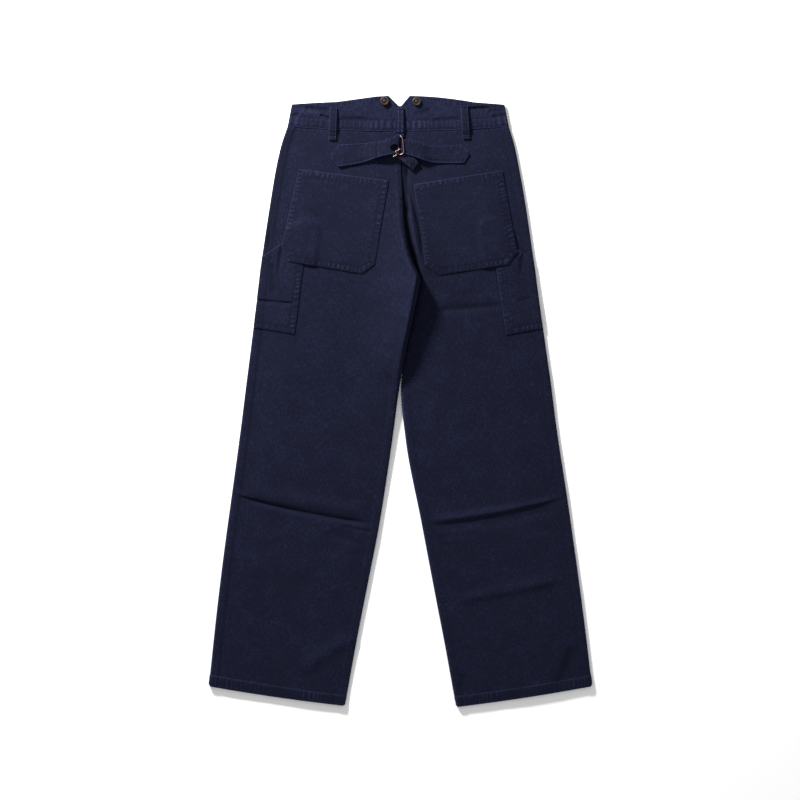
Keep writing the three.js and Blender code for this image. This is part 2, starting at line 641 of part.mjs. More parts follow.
// Highest point of the waistband or panel under a point of the plan
function clothTop(x, y) {
  const side = x < 0 ? LEFT : RIGHT;
  const edges = bandEdges(x < 0 ? LEFT_BAND_EDGE : RIGHT_BAND_EDGE, side);
  const share = (x - edges[0].lowX) / (edges.at(-1).lowX - edges[0].lowX);
  const waistY = bandPoint(edges, share, 1).y;
  if (y > waistY - WAIST_LAP) return bandHeight(share, (edges[0].topY - y) / (edges[0].topY - waistY));
  const place = placeOnBack(side, x, y);
  return backHeight(sectionAt(side, place.down), place.fromSide);
}

// A belt loop: a strip tacked down at both ends, whose middle stands off the cloth
function beltLoop(loop) {
  const pointAt = (share, side, depth) => {
    const x = mix(loop.topX, loop.lowX, share) + (side - 0.5) * LOOP_WIDTH;
    const y = mix(loop.topY, loop.lowY, share);
    const bulge = LOOP_BULGE * Math.sin(Math.PI * share);
    const base = Math.max(clothTop(x, y), clothTop(x, y + LOOP_FOOT), clothTop(x, y - LOOP_FOOT));
    const z = base + LAYER_GAP + bulge + STRAP_CLOTH - depth;
    return new THREE.Vector3(x, y, z);
  };
  return wallFrom(pointAt, LOOP_ROWS, STRIP_COLUMNS, STRAP_CLOTH);
}

// A strap through a table of sections, as thick as the strap's cloth
function strap(sections) {
  const rows = sections.map((section, i) => ({ ...section, at: i }));
  for (const row of rows) {
    row.topZ = mix(row.topZ, clothTop(row.topX, row.topY) + LAYER_GAP + STRAP_CLOTH, row.held);
    row.lowZ = mix(row.lowZ, clothTop(row.lowX, row.lowY) + LAYER_GAP + STRAP_CLOTH, row.held);
  }
  const edge = (end, at) => new THREE.Vector3(
    valueAt(rows, `${end}X`, at, "at"),
    valueAt(rows, `${end}Y`, at, "at"),
    valueAt(rows, `${end}Z`, at, "at"),
  );
  const last = rows.length - 1;
  const pointAt = (at, share, depth) => {
    const spot = (place) => edge("top", place).lerp(edge("low", place), share);
    const along = spot(Math.min(at + STRAP_STEP, last)).sub(spot(Math.max(at - STRAP_STEP, 0)));
    const across = edge("low", at).sub(edge("top", at));
    const normal = along.cross(across).normalize();
    const faceUp = sections[1].topX < 0 ? -1 : 1;
    return spot(at).addScaledVector(normal, -depth * faceUp);
  };
  const steps = Array.from({ length: last * STRAP_STEPS + 1 }, (_, i) => i / STRAP_STEPS);
  return wallFrom(pointAt, steps, STRIP_COLUMNS, STRAP_CLOTH);
}

const wasm = await Module();
wasm.setup();

function asSolid(geometry) {
  const bare = geometry.clone();
  bare.deleteAttribute("normal");
  bare.deleteAttribute("uv");
  const merged = mergeVertices(bare, SAME_POINT);
  return new wasm.Manifold(new wasm.Mesh({
    numProp: 3,
    vertProperties: new Float32Array(merged.attributes.position.array),
    triVerts: new Uint32Array(merged.index.array),
  }));
}

function cut(geometry, cutter) {
  const mesh = asSolid(geometry).subtract(asSolid(cutter)).getMesh();
  const result = new THREE.BufferGeometry();
  result.setAttribute("position", new THREE.BufferAttribute(new Float32Array(mesh.vertProperties), 3));
  result.setIndex(new THREE.BufferAttribute(new Uint32Array(mesh.triVerts), 1));
  return result;
}

// The oval eye in the left strap, where the prong comes through
function eyeCutter() {
  const height = EYE.highZ - EYE.lowZ;
  const cutter = new THREE.CylinderGeometry(EYE.length / 2, EYE.length / 2, height, EYE.sides);
  cutter.rotateX(Math.PI / 2);
  cutter.scale(1, EYE.width / EYE.length, 1);
  cutter.translate(EYE.x, EYE.y, EYE.lowZ + height / 2);
  return cutter;
}

function wire(points, steps) {
  const path = new THREE.CatmullRomCurve3(points.map((point) => new THREE.Vector3(point.x, point.y, point.z)));
  const round = new THREE.Shape().absarc(0, 0, WIRE / 2, 0, Math.PI * 2);
  return new THREE.ExtrudeGeometry(round, { steps, curveSegments: WIRE_ARCS, extrudePath: path });
}

function turned(outline) {
  const profile = outline.map((step) => new THREE.Vector2(step.radius, step.height));
  return new THREE.LatheGeometry(profile, BUTTON_SIDES).rotateX(Math.PI / 2);
}

function waistButtonDisc(radius, lowZ, highZ) {
  const disc = new THREE.CylinderGeometry(radius, radius, highZ - lowZ, BUTTON_SIDES);
  disc.rotateX(Math.PI / 2);
  return disc.translate(WAIST_BUTTON.x, WAIST_BUTTON.y, (lowZ + highZ) / 2);
}

add("back_left", backPanel(LEFT, LEFT_ROWS), NAVY);
add("back_right", backPanel(RIGHT, RIGHT_ROWS), NAVY);
add("front_left", frontPanel(LEFT), NAVY);
add("front_right", frontPanel(RIGHT), NAVY);
add("waistband_back_left", backBand(LEFT_BAND_EDGE, LEFT), NAVY);
add("waistband_back_right", backBand(RIGHT_BAND_EDGE, RIGHT), NAVY);
const hole = waistButtonDisc(WAIST_BUTTON.radius + SEAM_GAP, -CUT_PAST, BAND_CLOTH + CUT_PAST);
add("waistband_front_left", cut(frontBand(LEFT_BAND_EDGE, LEFT), hole), NAVY);
add("waistband_front_right", frontBand(RIGHT_BAND_EDGE, RIGHT), NAVY);
add("back_pocket_left", backPocket(LEFT, LEFT_BACK_POCKET, LEFT_TOOL_POCKET), NAVY);
add("back_pocket_right", backPocket(RIGHT, RIGHT_BACK_POCKET, RIGHT_TOOL_POCKET), NAVY);
add("tool_pocket_left", toolPocket(LEFT, LEFT_TOOL_POCKET), NAVY);
add("tool_pocket_right", toolPocket(RIGHT, RIGHT_TOOL_POCKET), NAVY);
for (const loop of LOOPS) add(loop.name, beltLoop(loop), NAVY_STRAP);
add("cinch_strap_left", cut(strap(STRAP_LEFT), eyeCutter()), NAVY_STRAP);
add("cinch_strap_right", strap(STRAP_RIGHT), NAVY_STRAP);
add("buckle_frame", wire(BUCKLE_FRAME, FRAME_STEPS), COPPER, 0.3, 1);
add("buckle_prong", wire(BUCKLE_PRONG, PRONG_STEPS), COPPER, 0.3, 1);
for (const button of BRACE_BUTTONS) {
  const seat = clothTop(button.x, button.y) + SEAM_GAP;
  const geometry = turned(BRACE_BUTTON).translate(button.x, button.y, seat);
  add(button.name, geometry, BRONZE, 0.45, 0.9);
}
add("waist_button", waistButtonDisc(WAIST_BUTTON.radius, 0, WAIST_BUTTON.thickness), BRONZE, 0.45, 0.9);

export default trousers;
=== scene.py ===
"""Work trousers laid flat with the back up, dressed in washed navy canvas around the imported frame.

Lengths are millimetres until a mesh is filled: X to the right of someone who looks down at the back,
Y towards the waist, Z up from the surface that the trousers lie on.
"""

import math

import bmesh
import bpy
import numpy as np
from mathutils import Matrix, Vector, noise
from mathutils.bvhtree import BVHTree


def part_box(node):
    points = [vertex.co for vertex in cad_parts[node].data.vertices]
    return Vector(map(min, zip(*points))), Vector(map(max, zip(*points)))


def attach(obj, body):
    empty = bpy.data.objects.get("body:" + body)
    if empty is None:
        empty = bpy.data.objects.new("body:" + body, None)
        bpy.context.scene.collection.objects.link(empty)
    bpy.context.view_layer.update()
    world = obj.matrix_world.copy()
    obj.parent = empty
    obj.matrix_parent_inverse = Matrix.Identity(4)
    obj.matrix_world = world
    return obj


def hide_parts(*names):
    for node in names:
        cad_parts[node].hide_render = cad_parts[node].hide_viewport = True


bl_info = {
    "name": "Work trousers, laid flat",
    "version": (1, 0, 0),
    "blender": (4, 5, 0),
    "location": "3D View > Sidebar > Trousers",
    "description": "Dresses the solids of a pair of work trousers in washed navy canvas",
    "category": "Add Mesh",
}

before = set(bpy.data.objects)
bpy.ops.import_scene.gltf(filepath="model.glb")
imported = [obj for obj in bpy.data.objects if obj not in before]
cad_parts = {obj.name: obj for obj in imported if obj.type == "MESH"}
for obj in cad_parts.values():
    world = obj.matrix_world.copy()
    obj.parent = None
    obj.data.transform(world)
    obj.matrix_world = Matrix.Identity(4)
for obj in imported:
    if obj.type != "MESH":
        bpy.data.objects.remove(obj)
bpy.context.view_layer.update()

MM = 0.001
QUARTER = math.pi / 2

# Seams and edges, as the solids have them
CLOTH = 1.3
STRAP_CLOTH = 2.0
SEAM_GAP = 0.3
LAYER_GAP = 0.45
SIDE_TURN = 3.0
SIDE_TOP = 4.8
FRONT_RIM = 2.25
BACK_RIM = FRONT_RIM + SEAM_GAP
SIDE_RISE = 70
FOLD_REACH = 95
FOLD_ENDS = 0.2
BAND_TURN = 2.6
BAND_FRONT_RIM = 2.6
BAND_BACK_RIM = BAND_FRONT_RIM + SEAM_GAP
BAND_TOP = BAND_BACK_RIM + BAND_TURN
BAND_CROWN = 1.3
BAND_CROWN_LOW = 0.45
BAND_FULLNESS = 0.7
BAND_DEPTH = 38
FRONT_DIP = 14
WAIST_Y = 480
WAIST_LAP = 3
HEM_RAISE = 0.5
CENTRE_TURN_START = 222
CROTCH_DOWN = 253
PLACE_TRIES = 25
CURVE_STEP = 0.004
EDGE_ANGLE = math.radians(50)
SHARP_ANGLE = math.radians(42)

# Sewing
FELL_WIDTH = 10.0  # of the felled centre seam
FELL_ROWS = (2.2, 8.4)  # distances of its rows of stitches from the edge
POCKET_ROWS = (2.6, 9.6)  # distances of the two rows of stitches from a pocket's edge
POCKET_PUCKER = 15.0  # how far a pocket's puckers reach in from its edge
POCKET_TOP_ROW = 13.5
BAND_LOW_ROW = 17.0  # height of the upper row of stitches over the waist seam
SEAM_ROW = 2.4
TOP_ROW = 4.5
HEM = 18.5
HEM_ROW = 17.0
HEM_CORNER = 4.0
LOOP_ROWS = (-4.0, 4.0)  # rows down a belt loop, beside its middle
LOOP_ROW_START = 1.5  # distance of their ends from the loop's
LOOP_BARS = (0.045, 0.9)  # shares of its length at which rows run across
LOOP_BAR_REACH = 5
STRAP_ROWS = (2.2, 6.0)
FRONT_BAND_ROWS = (3.0, 33.0)  # heights over the front's waist seam
FLY_ROWS = (
    ((-2.0, 461.0), (-2.0, 330.0)),
    ((-44.0, 462.0), (-43.0, 352.0), (-38.0, 334.0), (-26.0, 320.0), (-4.0, 312.0)),
    ((-37.5, 462.0), (-36.5, 354.0), (-32.0, 339.0), (-22.0, 327.0), (-4.0, 320.0)),
)
TROUGH = 0.6  # depth of the trough that a row of stitches pulls into the underside
PUCKER_LENGTH = 8.0  # from one pucker to the next
HEM_PUCKER_LENGTH = 6.5

# Lines that sewing sinks, rubbing pales and painted shade darkens beside the edges.
# Each row has an edge, the distance from it, the reach, and the height, or the wear and painted shade:
# positive is paler, negative is painted shade.
BACK_RELIEF = (("waist", 0, 2.2, -0.8), ("hem", HEM_ROW, 1.3, -0.35))
BACK_WEAR_AND_SHADE = (("hem", 0, 1.6, 0.4), ("hem", HEM, 1.1, 0.34), ("side", 0, 2.5, 0.3), ("side", 15, 2.2, -0.14))
FELL_WEAR_AND_SHADE = (("inner", FELL_WIDTH, 1, 0.15), ("inner", 3.4, 1.2, 0.4), ("inner", 0.4, 1.2, -0.5))
BAND_RELIEF = (("seam", BAND_LOW_ROW, 1.6, -0.45), ("seam", SEAM_ROW, 1.2, -0.3))
BAND_WEAR = (("seam", 0.6, 1.1, 0.14), ("top", 0, 1.5, 0.2))
POCKET_RELIEF = (
    ("sides", POCKET_ROWS[0], 0.9, -0.22), ("sides", POCKET_ROWS[1], 0.9, -0.22),
    ("top", POCKET_TOP_ROW, 1.2, -0.3),
)
POCKET_WEAR_AND_SHADE = (("edge", 0, 1, 0.38), ("top", POCKET_TOP_ROW, 0.9, -0.25))
LOOP_RELIEF = (("edge", 2, 0.7, -0.3), ("foot", 7, 1.1, -0.7), ("top", 6, 1.1, -0.5))
LOOP_WEAR_AND_SHADE = (("foot", 0, 1.2, 0.5), ("foot", 7, 1, -0.4))
STRAP_RELIEF = (("edge", STRAP_ROWS[0], 0.8, -0.3),)
STRAP_WEAR_AND_SHADE = (("edge", 0, 0.9, 0.7), ("seam", 0, 0.12, -0.35))


def table(columns, rows):
    """Turns rows into named columns of numbers."""
    return {name: np.array(column, float) for name, column in zip(columns, zip(*rows))}


# Sections across each leg, from the side seam to the centre seam or the inside leg.
# down is the distance from the waist seam, bow how far the middle sags, crown the height of the middle.
SECTION = (
    "down", "outer_x", "outer_y", "inner_x", "inner_y", "bow", "crown", "edge", "rim", "turn", "roll",
)
LEFT_BODY = table(SECTION, [
    (0, -196.4, 479.2, -0.5, 471.5, 2.5, 5.2, 5.0, 4.2, 6, 0),
    (33, -207.2, 447.2, 0.9, 438.5, 0, 6.0, 6.0, 4.1, 6, 0.2),
    (80, -217.3, 401.9, 3.0, 389.8, 0, 7.4, 7.6, 3.9, 6, 0.8),
    (155, -229.5, 327.1, 7.1, 314.9, 0, 8.6, 13.0, 3.4, 7, 1),
    (204, -237.2, 276.7, 15.3, 267.1, 0, 9.0, 21.0, 3.1, 8, 1),
    (228, -240.5, 254.0, 23.6, 241.9, 0, 9.0, 28.0, 2.9, 9, 1),
    (253, -243.9, 231.4, 35.7, 215.8, 0, 8.8, 36.0, 2.55, 9, 1),
])
LEFT_LEG = table(SECTION, [
    (253, -243.9, 231.4, 35.7, 215.8, 0, 8.8, 36.0, 2.55, 9, 1),
    (267, -245.5, 217.5, 33.2, 201.8, 0, 8.5, 36.0, 2.55, 9, 1),
    (309, -249.9, 175.7, 24.7, 160.1, 0, 7.8, 32.0, 2.55, 8, 1),
    (381, -258.7, 106.1, 9.4, 88.7, 0, 7.0, 24.0, 2.55, 7, 1),
    (415, -263.0, 72.0, 3.4, 55.5, 0, 6.8, 18.0, 2.55, 6, 1),
    (448, -267.3, 38.3, -2.3, 22.6, 1, 6.6, 11.0, 2.55, 5, 1),
    (535, -277.7, -45.2, -14.3, -66.1, 3, 6.2, 6.8, 2.55, 3.5, 1),
    (667, -293.2, -160.1, -36.7, -212.3, 5, 6.2, 5.4, 2.55, 3, 1),
    (756, -305.4, -248.8, -53.4, -298.4, 4, 6.0, 5.2, 2.55, 3, 1),
    (871, -319.3, -361.9, -75.9, -413.2, 3, 5.8, 5.0, 2.55, 3, 1),
    (996, -333.2, -494.2, -96.6, -528.3, 2, 5.2, 4.8, 2.55, 3, 1),
])
RIGHT_BODY = table(SECTION, [
    (0, 188.4, 479.2, -0.45, 471.5, 2, 5.2, 5.0, 4.2, 6, 0),
    (33, 197.8, 447.2, 0.95, 438.5, 0, 6.0, 6.2, 4.1, 8, 0),
    (80, 207.1, 401.9, 3.05, 389.8, 0, 7.4, 8.0, 3.9, 12, 0),
    (156, 219.9, 327.1, 7.15, 314.9, 0, 8.4, 11.0, 3.4, 14, 0),
    (205, 227.2, 276.7, 15.35, 267.1, 0, 8.6, 13.0, 3.1, 14, 0),
    (230, 230.6, 254.0, 23.65, 241.9, 0, 8.4, 12.5, 2.95, 12, 0.3),
    (255, 234.0, 231.4, 35.75, 215.8, 0, 8.0, 10.5, 2.55, 8, 1),
])
RIGHT_LEG = table(SECTION, [
    (255, 234.0, 231.4, 35.75, 215.8, 0, 8.0, 10.5, 2.55, 8, 1),
    (270, 235.8, 217.5, 33.2, 201.8, 0, 7.8, 10.4, 2.55, 13, 1),
    (314, 241.7, 172.3, 24.35, 158.3, 0, 7.2, 9.6, 2.55, 11, 1),
    (382, 251.1, 106.1, 9.4, 88.7, 0, 6.8, 8.2, 2.55, 7, 1),
    (415, 255.9, 72.0, 3.6, 55.5, 0.4, 6.7, 7.6, 2.55, 5.4, 1),
    (449, 260.8, 38.3, 0.9, 22.6, 1, 6.6, 7.2, 2.55, 4, 1),
    (536, 271.4, -45.2, 9.0, -66.1, 3, 6.2, 6.2, 2.55, 3.5, 1),
    (669, 289.7, -165.3, 36.2, -208.8, 4, 6.2, 5.4, 2.55, 3, 1),
    (811, 309.4, -304.5, 63.0, -349.7, 2, 6.0, 5.2, 2.55, 3, 1),
    (898, 321.0, -393.2, 79.2, -433.3, 2, 5.8, 5.0, 2.55, 3, 1),
    (999, 333.0, -494.2, 96.6, -530.4, 2, 5.2, 4.8, 2.55, 3, 1),
])

# Folds that run right across a leg, which the solids have too
FOLD = ("from_share", "from_down", "to_share", "to_down", "rise", "width")
LEFT_FOLDS = table(FOLD, [
    (0.02, 667, 0.98, 667, -1.5, 6),
    (0.05, 650, 0.95, 650, 1.4, 11),
    (0.66, 690, 0.88, 697, -0.9, 6),
])
RIGHT_FOLDS = table(FOLD, [
    (0.02, 669, 0.98, 669, 1.25, 6.5),
    (0.05, 684, 0.95, 685, -1.2, 10),
    (0.08, 806, 0.9, 812, 1.5, 11),
    (0.26, 311, 0.92, 316, -0.9, 7),
])

# Finer creases. left and right are half-widths on either hand of one who walks from one end to the other.
CREASE = ("from_x", "from_y", "to_x", "to_y", "bow", "rise", "left", "right")
BACK_CREASES = table(CREASE, [
    (-294, -159.5, -38, -211.5, -5, -1.5, 1.6, 5),
    (-292, -157, -180, -182, -2, 0.7, 6, 3),
    (-104, -216, -44, -227, 1, -0.8, 2.4, 4),
    (-134, -226, -62, -247, 1, -0.9, 2.6, 4.5),
    (-96, -262, -58, -270, 0, -0.4, 3, 4),
    (-52, 173, -8, 161, 1, -0.5, 3, 4),
    (-30, 147, 12, 139, -1, -0.5, 3, 4),
    (-84, 158, -46, 150, 0, -0.35, 3, 4),
    (-176, -470, -70, -402, 3, 2.0, 20, 11),
    (-262, -300, -150, -318, 4, -0.5, 16, 16),
    (38, -208, 292, -164, -5, 0.9, 9, 3),
    (44, -214, 200, -190, -4, -0.7, 2.2, 4.5),
    (196, -187.5, 291, -164, -2, -1.0, 2, 6),
    (60, -236, 136, -226, 1, -0.5, 3, 5),
    (70, -249, 108, -245, 0, -0.4, 3, 4),
    (90, -347, 296, -303, -4, 0.8, 12, 3.4),
    (58, 160, 190, 171, 0, -1.3, 1.7, 5.5),
    (86, 186, 150, 192, 0, -0.4, 4, 5),
    (300, -421, 268, -500, 4, -1.4, 12, 9),
    (112, -470, 104, -508, 0, -0.9, 6, 6),
    (9.5, 416, 11, 318, 0, -3.4, 3, 3),
    (10.5, 352, 33, 223, -5, -4.0, 3.4, 3.4),
    (13, 352, 35, 238, -1, 1.5, 4, 4),
    (10.5, 378, 40, 246, 5, -2.6, 3.4, 3),
    (-4, 428.5, 19.5, 400, 0, -2.0, 1.6, 1.6),
    (-1, 252, 14, 216, 1, -0.9, 3, 3),
    (2, 222, 26, 208, 2, -0.8, 2.2, 2.6),
    (-6, 208, 20, 196, 1, -0.6, 2.4, 3),
    (-229.5, 336, -228.5, 262, 0, -1.5, 4, 4),
    (-232, 452, -222, 380, 1, -0.9, 6, 8),
    (-262, 92, -284, -90, 0, -0.5, 8, 7),
    (-204.5, 275, -213.4, 212, -1, -1.6, 3, 3.2),
    (-222, 244, -220, 182, 0, -1.1, 5, 5),
    (-254, 177.5, -180, 171, 0, -1.7, 1.5, 3.6),
    (-206, 197, -190, 193, 0, -0.4, 3, 3),
    (232, 182, 200, 172, -1, -0.7, 3, 3.6),
    (214, 262, 208, 214, -1, -1.0, 4, 3.4),
    (60, 340, 96, 410, 4, -0.5, 10, 12),
    (-66, 452, -20, 410, -2, -0.5, 6, 8),
    (24, 408, 70, 398, 1, -0.6, 6, 6),
])
BAND_CREASES = table(CREASE, [
    (-140, 499.4, -120, 492.2, 0, -1.5, 1.2, 3.2),
    (-168, 512.2, -120, 508.0, 0, -1.2, 2, 6),
    (-176, 505, -134, 501, 0, 0.7, 3, 4),
    (-108, 492.8, -50, 491, 1, -1.0, 2.4, 5),
    (-189, 498.2, -176, 501.6, 0, -1.1, 1.5, 3),
    (112, 510.2, 158, 512.4, 0, -2.2, 1.5, 4.2),
    (150, 505, 180, 508, 0, -0.8, 2.5, 5),
    (160, 496, 182, 501, 0, -1.1, 2, 4),
    (54, 489.5, 106, 493, 1, -0.9, 2.5, 5),
    (22, 500, 56, 509, 0, -0.7, 3, 5),
])
FRONT_CREASES = table(CREASE, [
    (-286, -150, -60, -196, -4, -1.3, 4, 6),
    (60, -202, 278, -158, -4, -1.3, 5, 4),
    (96, -340, 262, -306, -3, -0.8, 6, 6),
    (-250, -322, -120, -344, 3, -0.8, 6, 7),
    (-120, 190, -22, 168, 2, -1.0, 5, 5),
    (44, 168, 150, 190, 2, -1.0, 5, 5),
    (-86, 330, -12, 262, 4, -0.9, 5, 7),
    (18, 262, 96, 334, 4, -0.9, 7, 5),
    (-170, -420, -104, -462, 0, -0.9, 8, 8),
    (250, -410, 280, -480, 0, -0.9, 8, 8),
])

# Top edge of each half of the back waistband
EDGE = ("x", "y")
LEFT_BAND_EDGE = table(EDGE, [
    (-189.1, 517.5), (-152.2, 519.9), (-112.2, 521.7), (-87.9, 524.8), (-62.6, 528.3), (-42, 531.2),
    (-20.6, 532.3), (-3.2, 514.7), (-0.5, 514.3),
])
RIGHT_BAND_EDGE = table(EDGE, [
    (180.8, 516.9), (152.2, 519.2), (127.9, 521), (108, 524.3), (89.6, 526.9), (65.2, 529.7),
    (40, 531.5), (16, 532.3), (1.2, 514.7), (-0.45, 514.3),
])

# Patch pockets: for each share of the way from the side, a point of the top and of the bottom edge
PATCH = ("share", "top_x", "top_y", "low_x", "low_y")
LEFT_BACK_POCKET = table(PATCH, [
    (0, -176.8, 404.4, -206.9, 268),
    (0.09, -162.7, 402.6, -193.5, 243.6),
    (0.87, -40.7, 387.1, -67, 222.4),
    (1, -20.4, 384.5, -44.9, 238),
])
RIGHT_BACK_POCKET = table(PATCH, [
    (0, 177.3, 402.3, 202.9, 260.1),
    (0.11, 160.3, 399.6, 186.4, 238),
    (0.87, 43.1, 381, 66.5, 220.3),
    (1, 23.1, 377.8, 43.2, 236.8),
])
LEFT_TOOL_POCKET = table(PATCH, [
    (0, -239.8, 253.5, -254.9, 128.8),
    (0.42, -209, 273.5, -226.4, 124.9),
    (1, -160.9, 298.5, -183.6, 117.1),
])
RIGHT_TOOL_POCKET = table(PATCH, [
    (0, 228.9, 247, 246.9, 127.8),
    (0.4, 200.6, 268, 222, 123.2),
    (1, 155.7, 300, 184.1, 115.9),
])
TOOL_LIFT_REACH = 14
TOOL_LIFT_FADE = 14

LOOP_WIDTH = 12.5
LOOP_BULGE = 1.6
LOOP_FOOT = 2
# Middle of each loop's top and bottom edge, and how far inside its sides the pale line runs, which is rubbed
# and partly a painted highlight
LOOPS = {
    "left": (-116.6, 511.9, -118.5, 455.4, 0.3),
    "centre": (-0.7, 511.4, -0.7, 459.5, 3.0),
    "right": (110.3, 515, 113.8, 457.3, 0.3),
}

# Cinch straps from the sewn end to the buckle, round it and back
STRAP = ("top_x", "top_y", "top_z", "low_x", "low_y", "low_z", "held")
STRAP_LEFT = table(STRAP, [
    (-122.5, 429, 9.0, -122.5, 425, 9.0, 1),
    (-108.1, 446.7, 9.0, -108.8, 409.2, 9.0, 1),
    (-92, 447.6, 9.2, -92, 411.6, 9.6, 1),
    (-74, 448.6, 9.6, -74, 414.6, 10.0, 0.9),
    (-58.3, 449.6, 10.4, -58.8, 418.5, 10.8, 0.5),
    (-44.4, 451, 12.0, -44.4, 423.4, 12.4, 0.1),
    (-31.7, 453, 14.0, -31.7, 427, 14.4, 0),
    (-20, 456, 15.6, -20, 429.4, 15.8, 0),
    (-9, 461, 16.2, -10, 431.6, 16.2, 0),
    (-3.6, 463, 16, -4.6, 432.9, 15.8, 0),
    (-0.7, 461.5, 13.6, -1.7, 433.3, 13.2, 0),
    (-1.4, 457.6, 10.0, -2.4, 433.2, 10.0, 0),
    (-5, 457.2, 8.3, -6, 432.2, 8.3, 0),
    (-12, 456.2, 7.9, -13, 431.2, 7.9, 0),
    (-24, 454, 7.8, -25, 428.8, 7.8, 0),
])
STRAP_RIGHT = table(STRAP, [
    (118.1, 433.3, 9.0, 118.1, 429.3, 9.0, 1),
    (107, 447.2, 9.0, 110, 415.5, 9.0, 1),
    (94, 445.8, 9.2, 94, 415.5, 9.6, 1),
    (79.7, 444.4, 9.6, 78.3, 415.5, 10.0, 0.9),
    (54.1, 443.9, 11.2, 57.1, 416.2, 11.6, 0.4),
    (43, 446.4, 12.6, 46, 418.4, 13.2, 0.1),
    (33.1, 450.4, 14.0, 36, 421.6, 14.6, 0),
    (19.5, 453.8, 15.0, 19.5, 427.5, 15.2, 0),
    (9, 455, 15.4, 8, 430.2, 15.4, 0),
    (4.2, 455, 14.8, 3, 430.6, 14.8, 0),
    (1.9, 454.6, 12.6, 0.7, 430.4, 12.6, 0),
    (3.4, 453.4, 10.4, -1.5, 429, 10.4, 0),
    (8, 449, 10.2, -2.5, 424.6, 10.8, 0),
    (15, 438.4, 10.6, 3.5, 418.6, 12.0, 0),
    (22.5, 426.6, 11.4, 12.4, 410.4, 11.6, 0),
    (30.8, 414.5, 9.7, 20.9, 402.2, 9.9, 0),
])

# Each strap with the row of its table as far as which it is sewn down
STRAPS = {"left": (STRAP_LEFT, 5.1), "right": (STRAP_RIGHT, 4.9)}
STRAP_TURN = 8  # row at which a strap turns back round the buckle
STRAP_UNDER = -0.9  # how far a strap that has turned lies under its layer
EYE = {"x": -10, "y": 440.9, "length": 15.6, "width": 12.4, "above": 12.9}

WIRE = 1.7
POINT = ("x", "y", "z")
BUCKLE_FRAME = table(POINT, [
    (-3.2, 459.2, 12.4), (-1.4, 461.2, 13.6), (1.0, 460.2, 15.4), (3.4, 455, 16.5), (4.4, 448, 16.8),
    (5, 440, 16.8), (5.5, 434.4, 16.6), (3.8, 430.6, 16.2), (-0.2, 428.9, 15), (-3, 429.6, 13),
    (-3.5, 433.4, 12), (-3.5, 441, 11.9), (-3.5, 450, 11.9), (-3.4, 457.4, 12.1),
])
BUCKLE_PRONG = table(POINT, [
    (0.2, 438.7, 17.5), (-4.4, 436, 17.6), (-8.4, 434, 17.5), (-6.6, 430.6, 17.3), (-6.9, 427.9, 17.2),
    (-9.8, 426.5, 17.1), (-13.4, 425, 16.8),
])

BUTTONS = {"left": (-27.7, 522.7), "right": (28, 522.0)}
WAIST_BUTTON = {"x": -14, "y": 484, "radius": 8.5}

LEFT = {"body": LEFT_BODY, "leg": LEFT_LEG, "folds": LEFT_FOLDS, "band": LEFT_BAND_EDGE,
        "patches": (LEFT_BACK_POCKET, LEFT_TOOL_POCKET), "felled": True}
RIGHT = {"body": RIGHT_BODY, "leg": RIGHT_LEG, "folds": RIGHT_FOLDS, "band": RIGHT_BAND_EDGE,
         "patches": (RIGHT_BACK_POCKET, RIGHT_TOOL_POCKET), "felled": False}
SIDES = {"left": LEFT, "right": RIGHT}


def length_property(name, description, size, low, high):
    """A length that is given in millimetres."""
    return bpy.props.FloatProperty(
        name=name, description=description, default=size * MM, min=low * MM, max=high * MM, unit="LENGTH")


class TrousersSizes(bpy.types.PropertyGroup):
    """Sizes of the cloth and the sewing that a user would change."""

    canvas: length_property("Canvas", "Thickness of one layer of canvas", 1.1, 0.3, 2)
    pucker: length_property("Pucker", "Height of the puckers along the seams", 0.55, 0, 2)
    wave: length_property("Wave", "Height of the soft waves of the washed cloth", 0.75, 0, 3)
    crease: bpy.props.FloatProperty(
        name="Creases", description="Strength of the fine creases",
        default=1.0, min=0, max=2, subtype="FACTOR")
    stitch: length_property("Stitch", "Length of one stitch, with the gap after it", 3.2, 1.5, 6)
    thread: length_property("Thread", "Thickness of the sewing thread", 0.7, 0.2, 1.5)


def linear(hex_colour):
    """Turns an sRGB hex colour into linear red, green and blue."""
    parts = [int(hex_colour[i:i + 2], 16) / 255 for i in (1, 3, 5)]
    return tuple(p / 12.92 if p <= 0.04045 else ((p + 0.055) / 1.055) ** 2.4 for p in parts)


def colour_property(name, description, hex_colour):
    return bpy.props.FloatVectorProperty(
        name=name, description=description, default=linear(hex_colour), size=3, min=0, max=1, subtype="COLOR")


class TrousersColours(bpy.types.PropertyGroup):
    """Colours of the cloth, the thread, the metals and the floor."""

    navy: colour_property("Navy", "Dyed canvas", "#111323")
    # Painted shade: the canvas takes this colour where the hollows of seams, creases and puckers are darkened
    # as if in shade
    shaded_navy: colour_property("Deep navy", "Canvas in the hollows of the seams", "#06070f")
    # Canvas rubbed pale; also the colour of the painted highlights on the inside leg's edge and along the
    # belt loops
    faded_and_lit: colour_property("Faded navy", "Canvas rubbed pale on the seams", "#2a2f4b")
    thread: colour_property("Thread", "Navy sewing thread, a little paler than the cloth", "#1b2038")
    copper: colour_property("Copper", "Drawn wire of the buckle", "#846d66")
    bronze: colour_property("Bronze", "Stamped tack buttons", "#3c322b")
    worn_bronze: colour_property("Worn bronze", "Rubbed rims of the buttons", "#50443a")
    floor: colour_property("Floor", "Plain pale floor", "#fafafa")


def mix(a, b, share):
    return a + (b - a) * share


def smooth(t):
    t = np.clip(t, 0, 1)
    return t * t * (3 - 2 * t)


def band_of(distance, near, far, soft):
    """1 between two distances, with soft edges, and 0 outside them."""
    return smooth((distance - near) / soft + 0.5) * smooth((far - distance) / soft + 0.5)


def bell(distance, reach):
    """1 on a line, falling softly to nearly 0 at twice the reach from it."""
    return np.exp(-((distance / reach) ** 2))


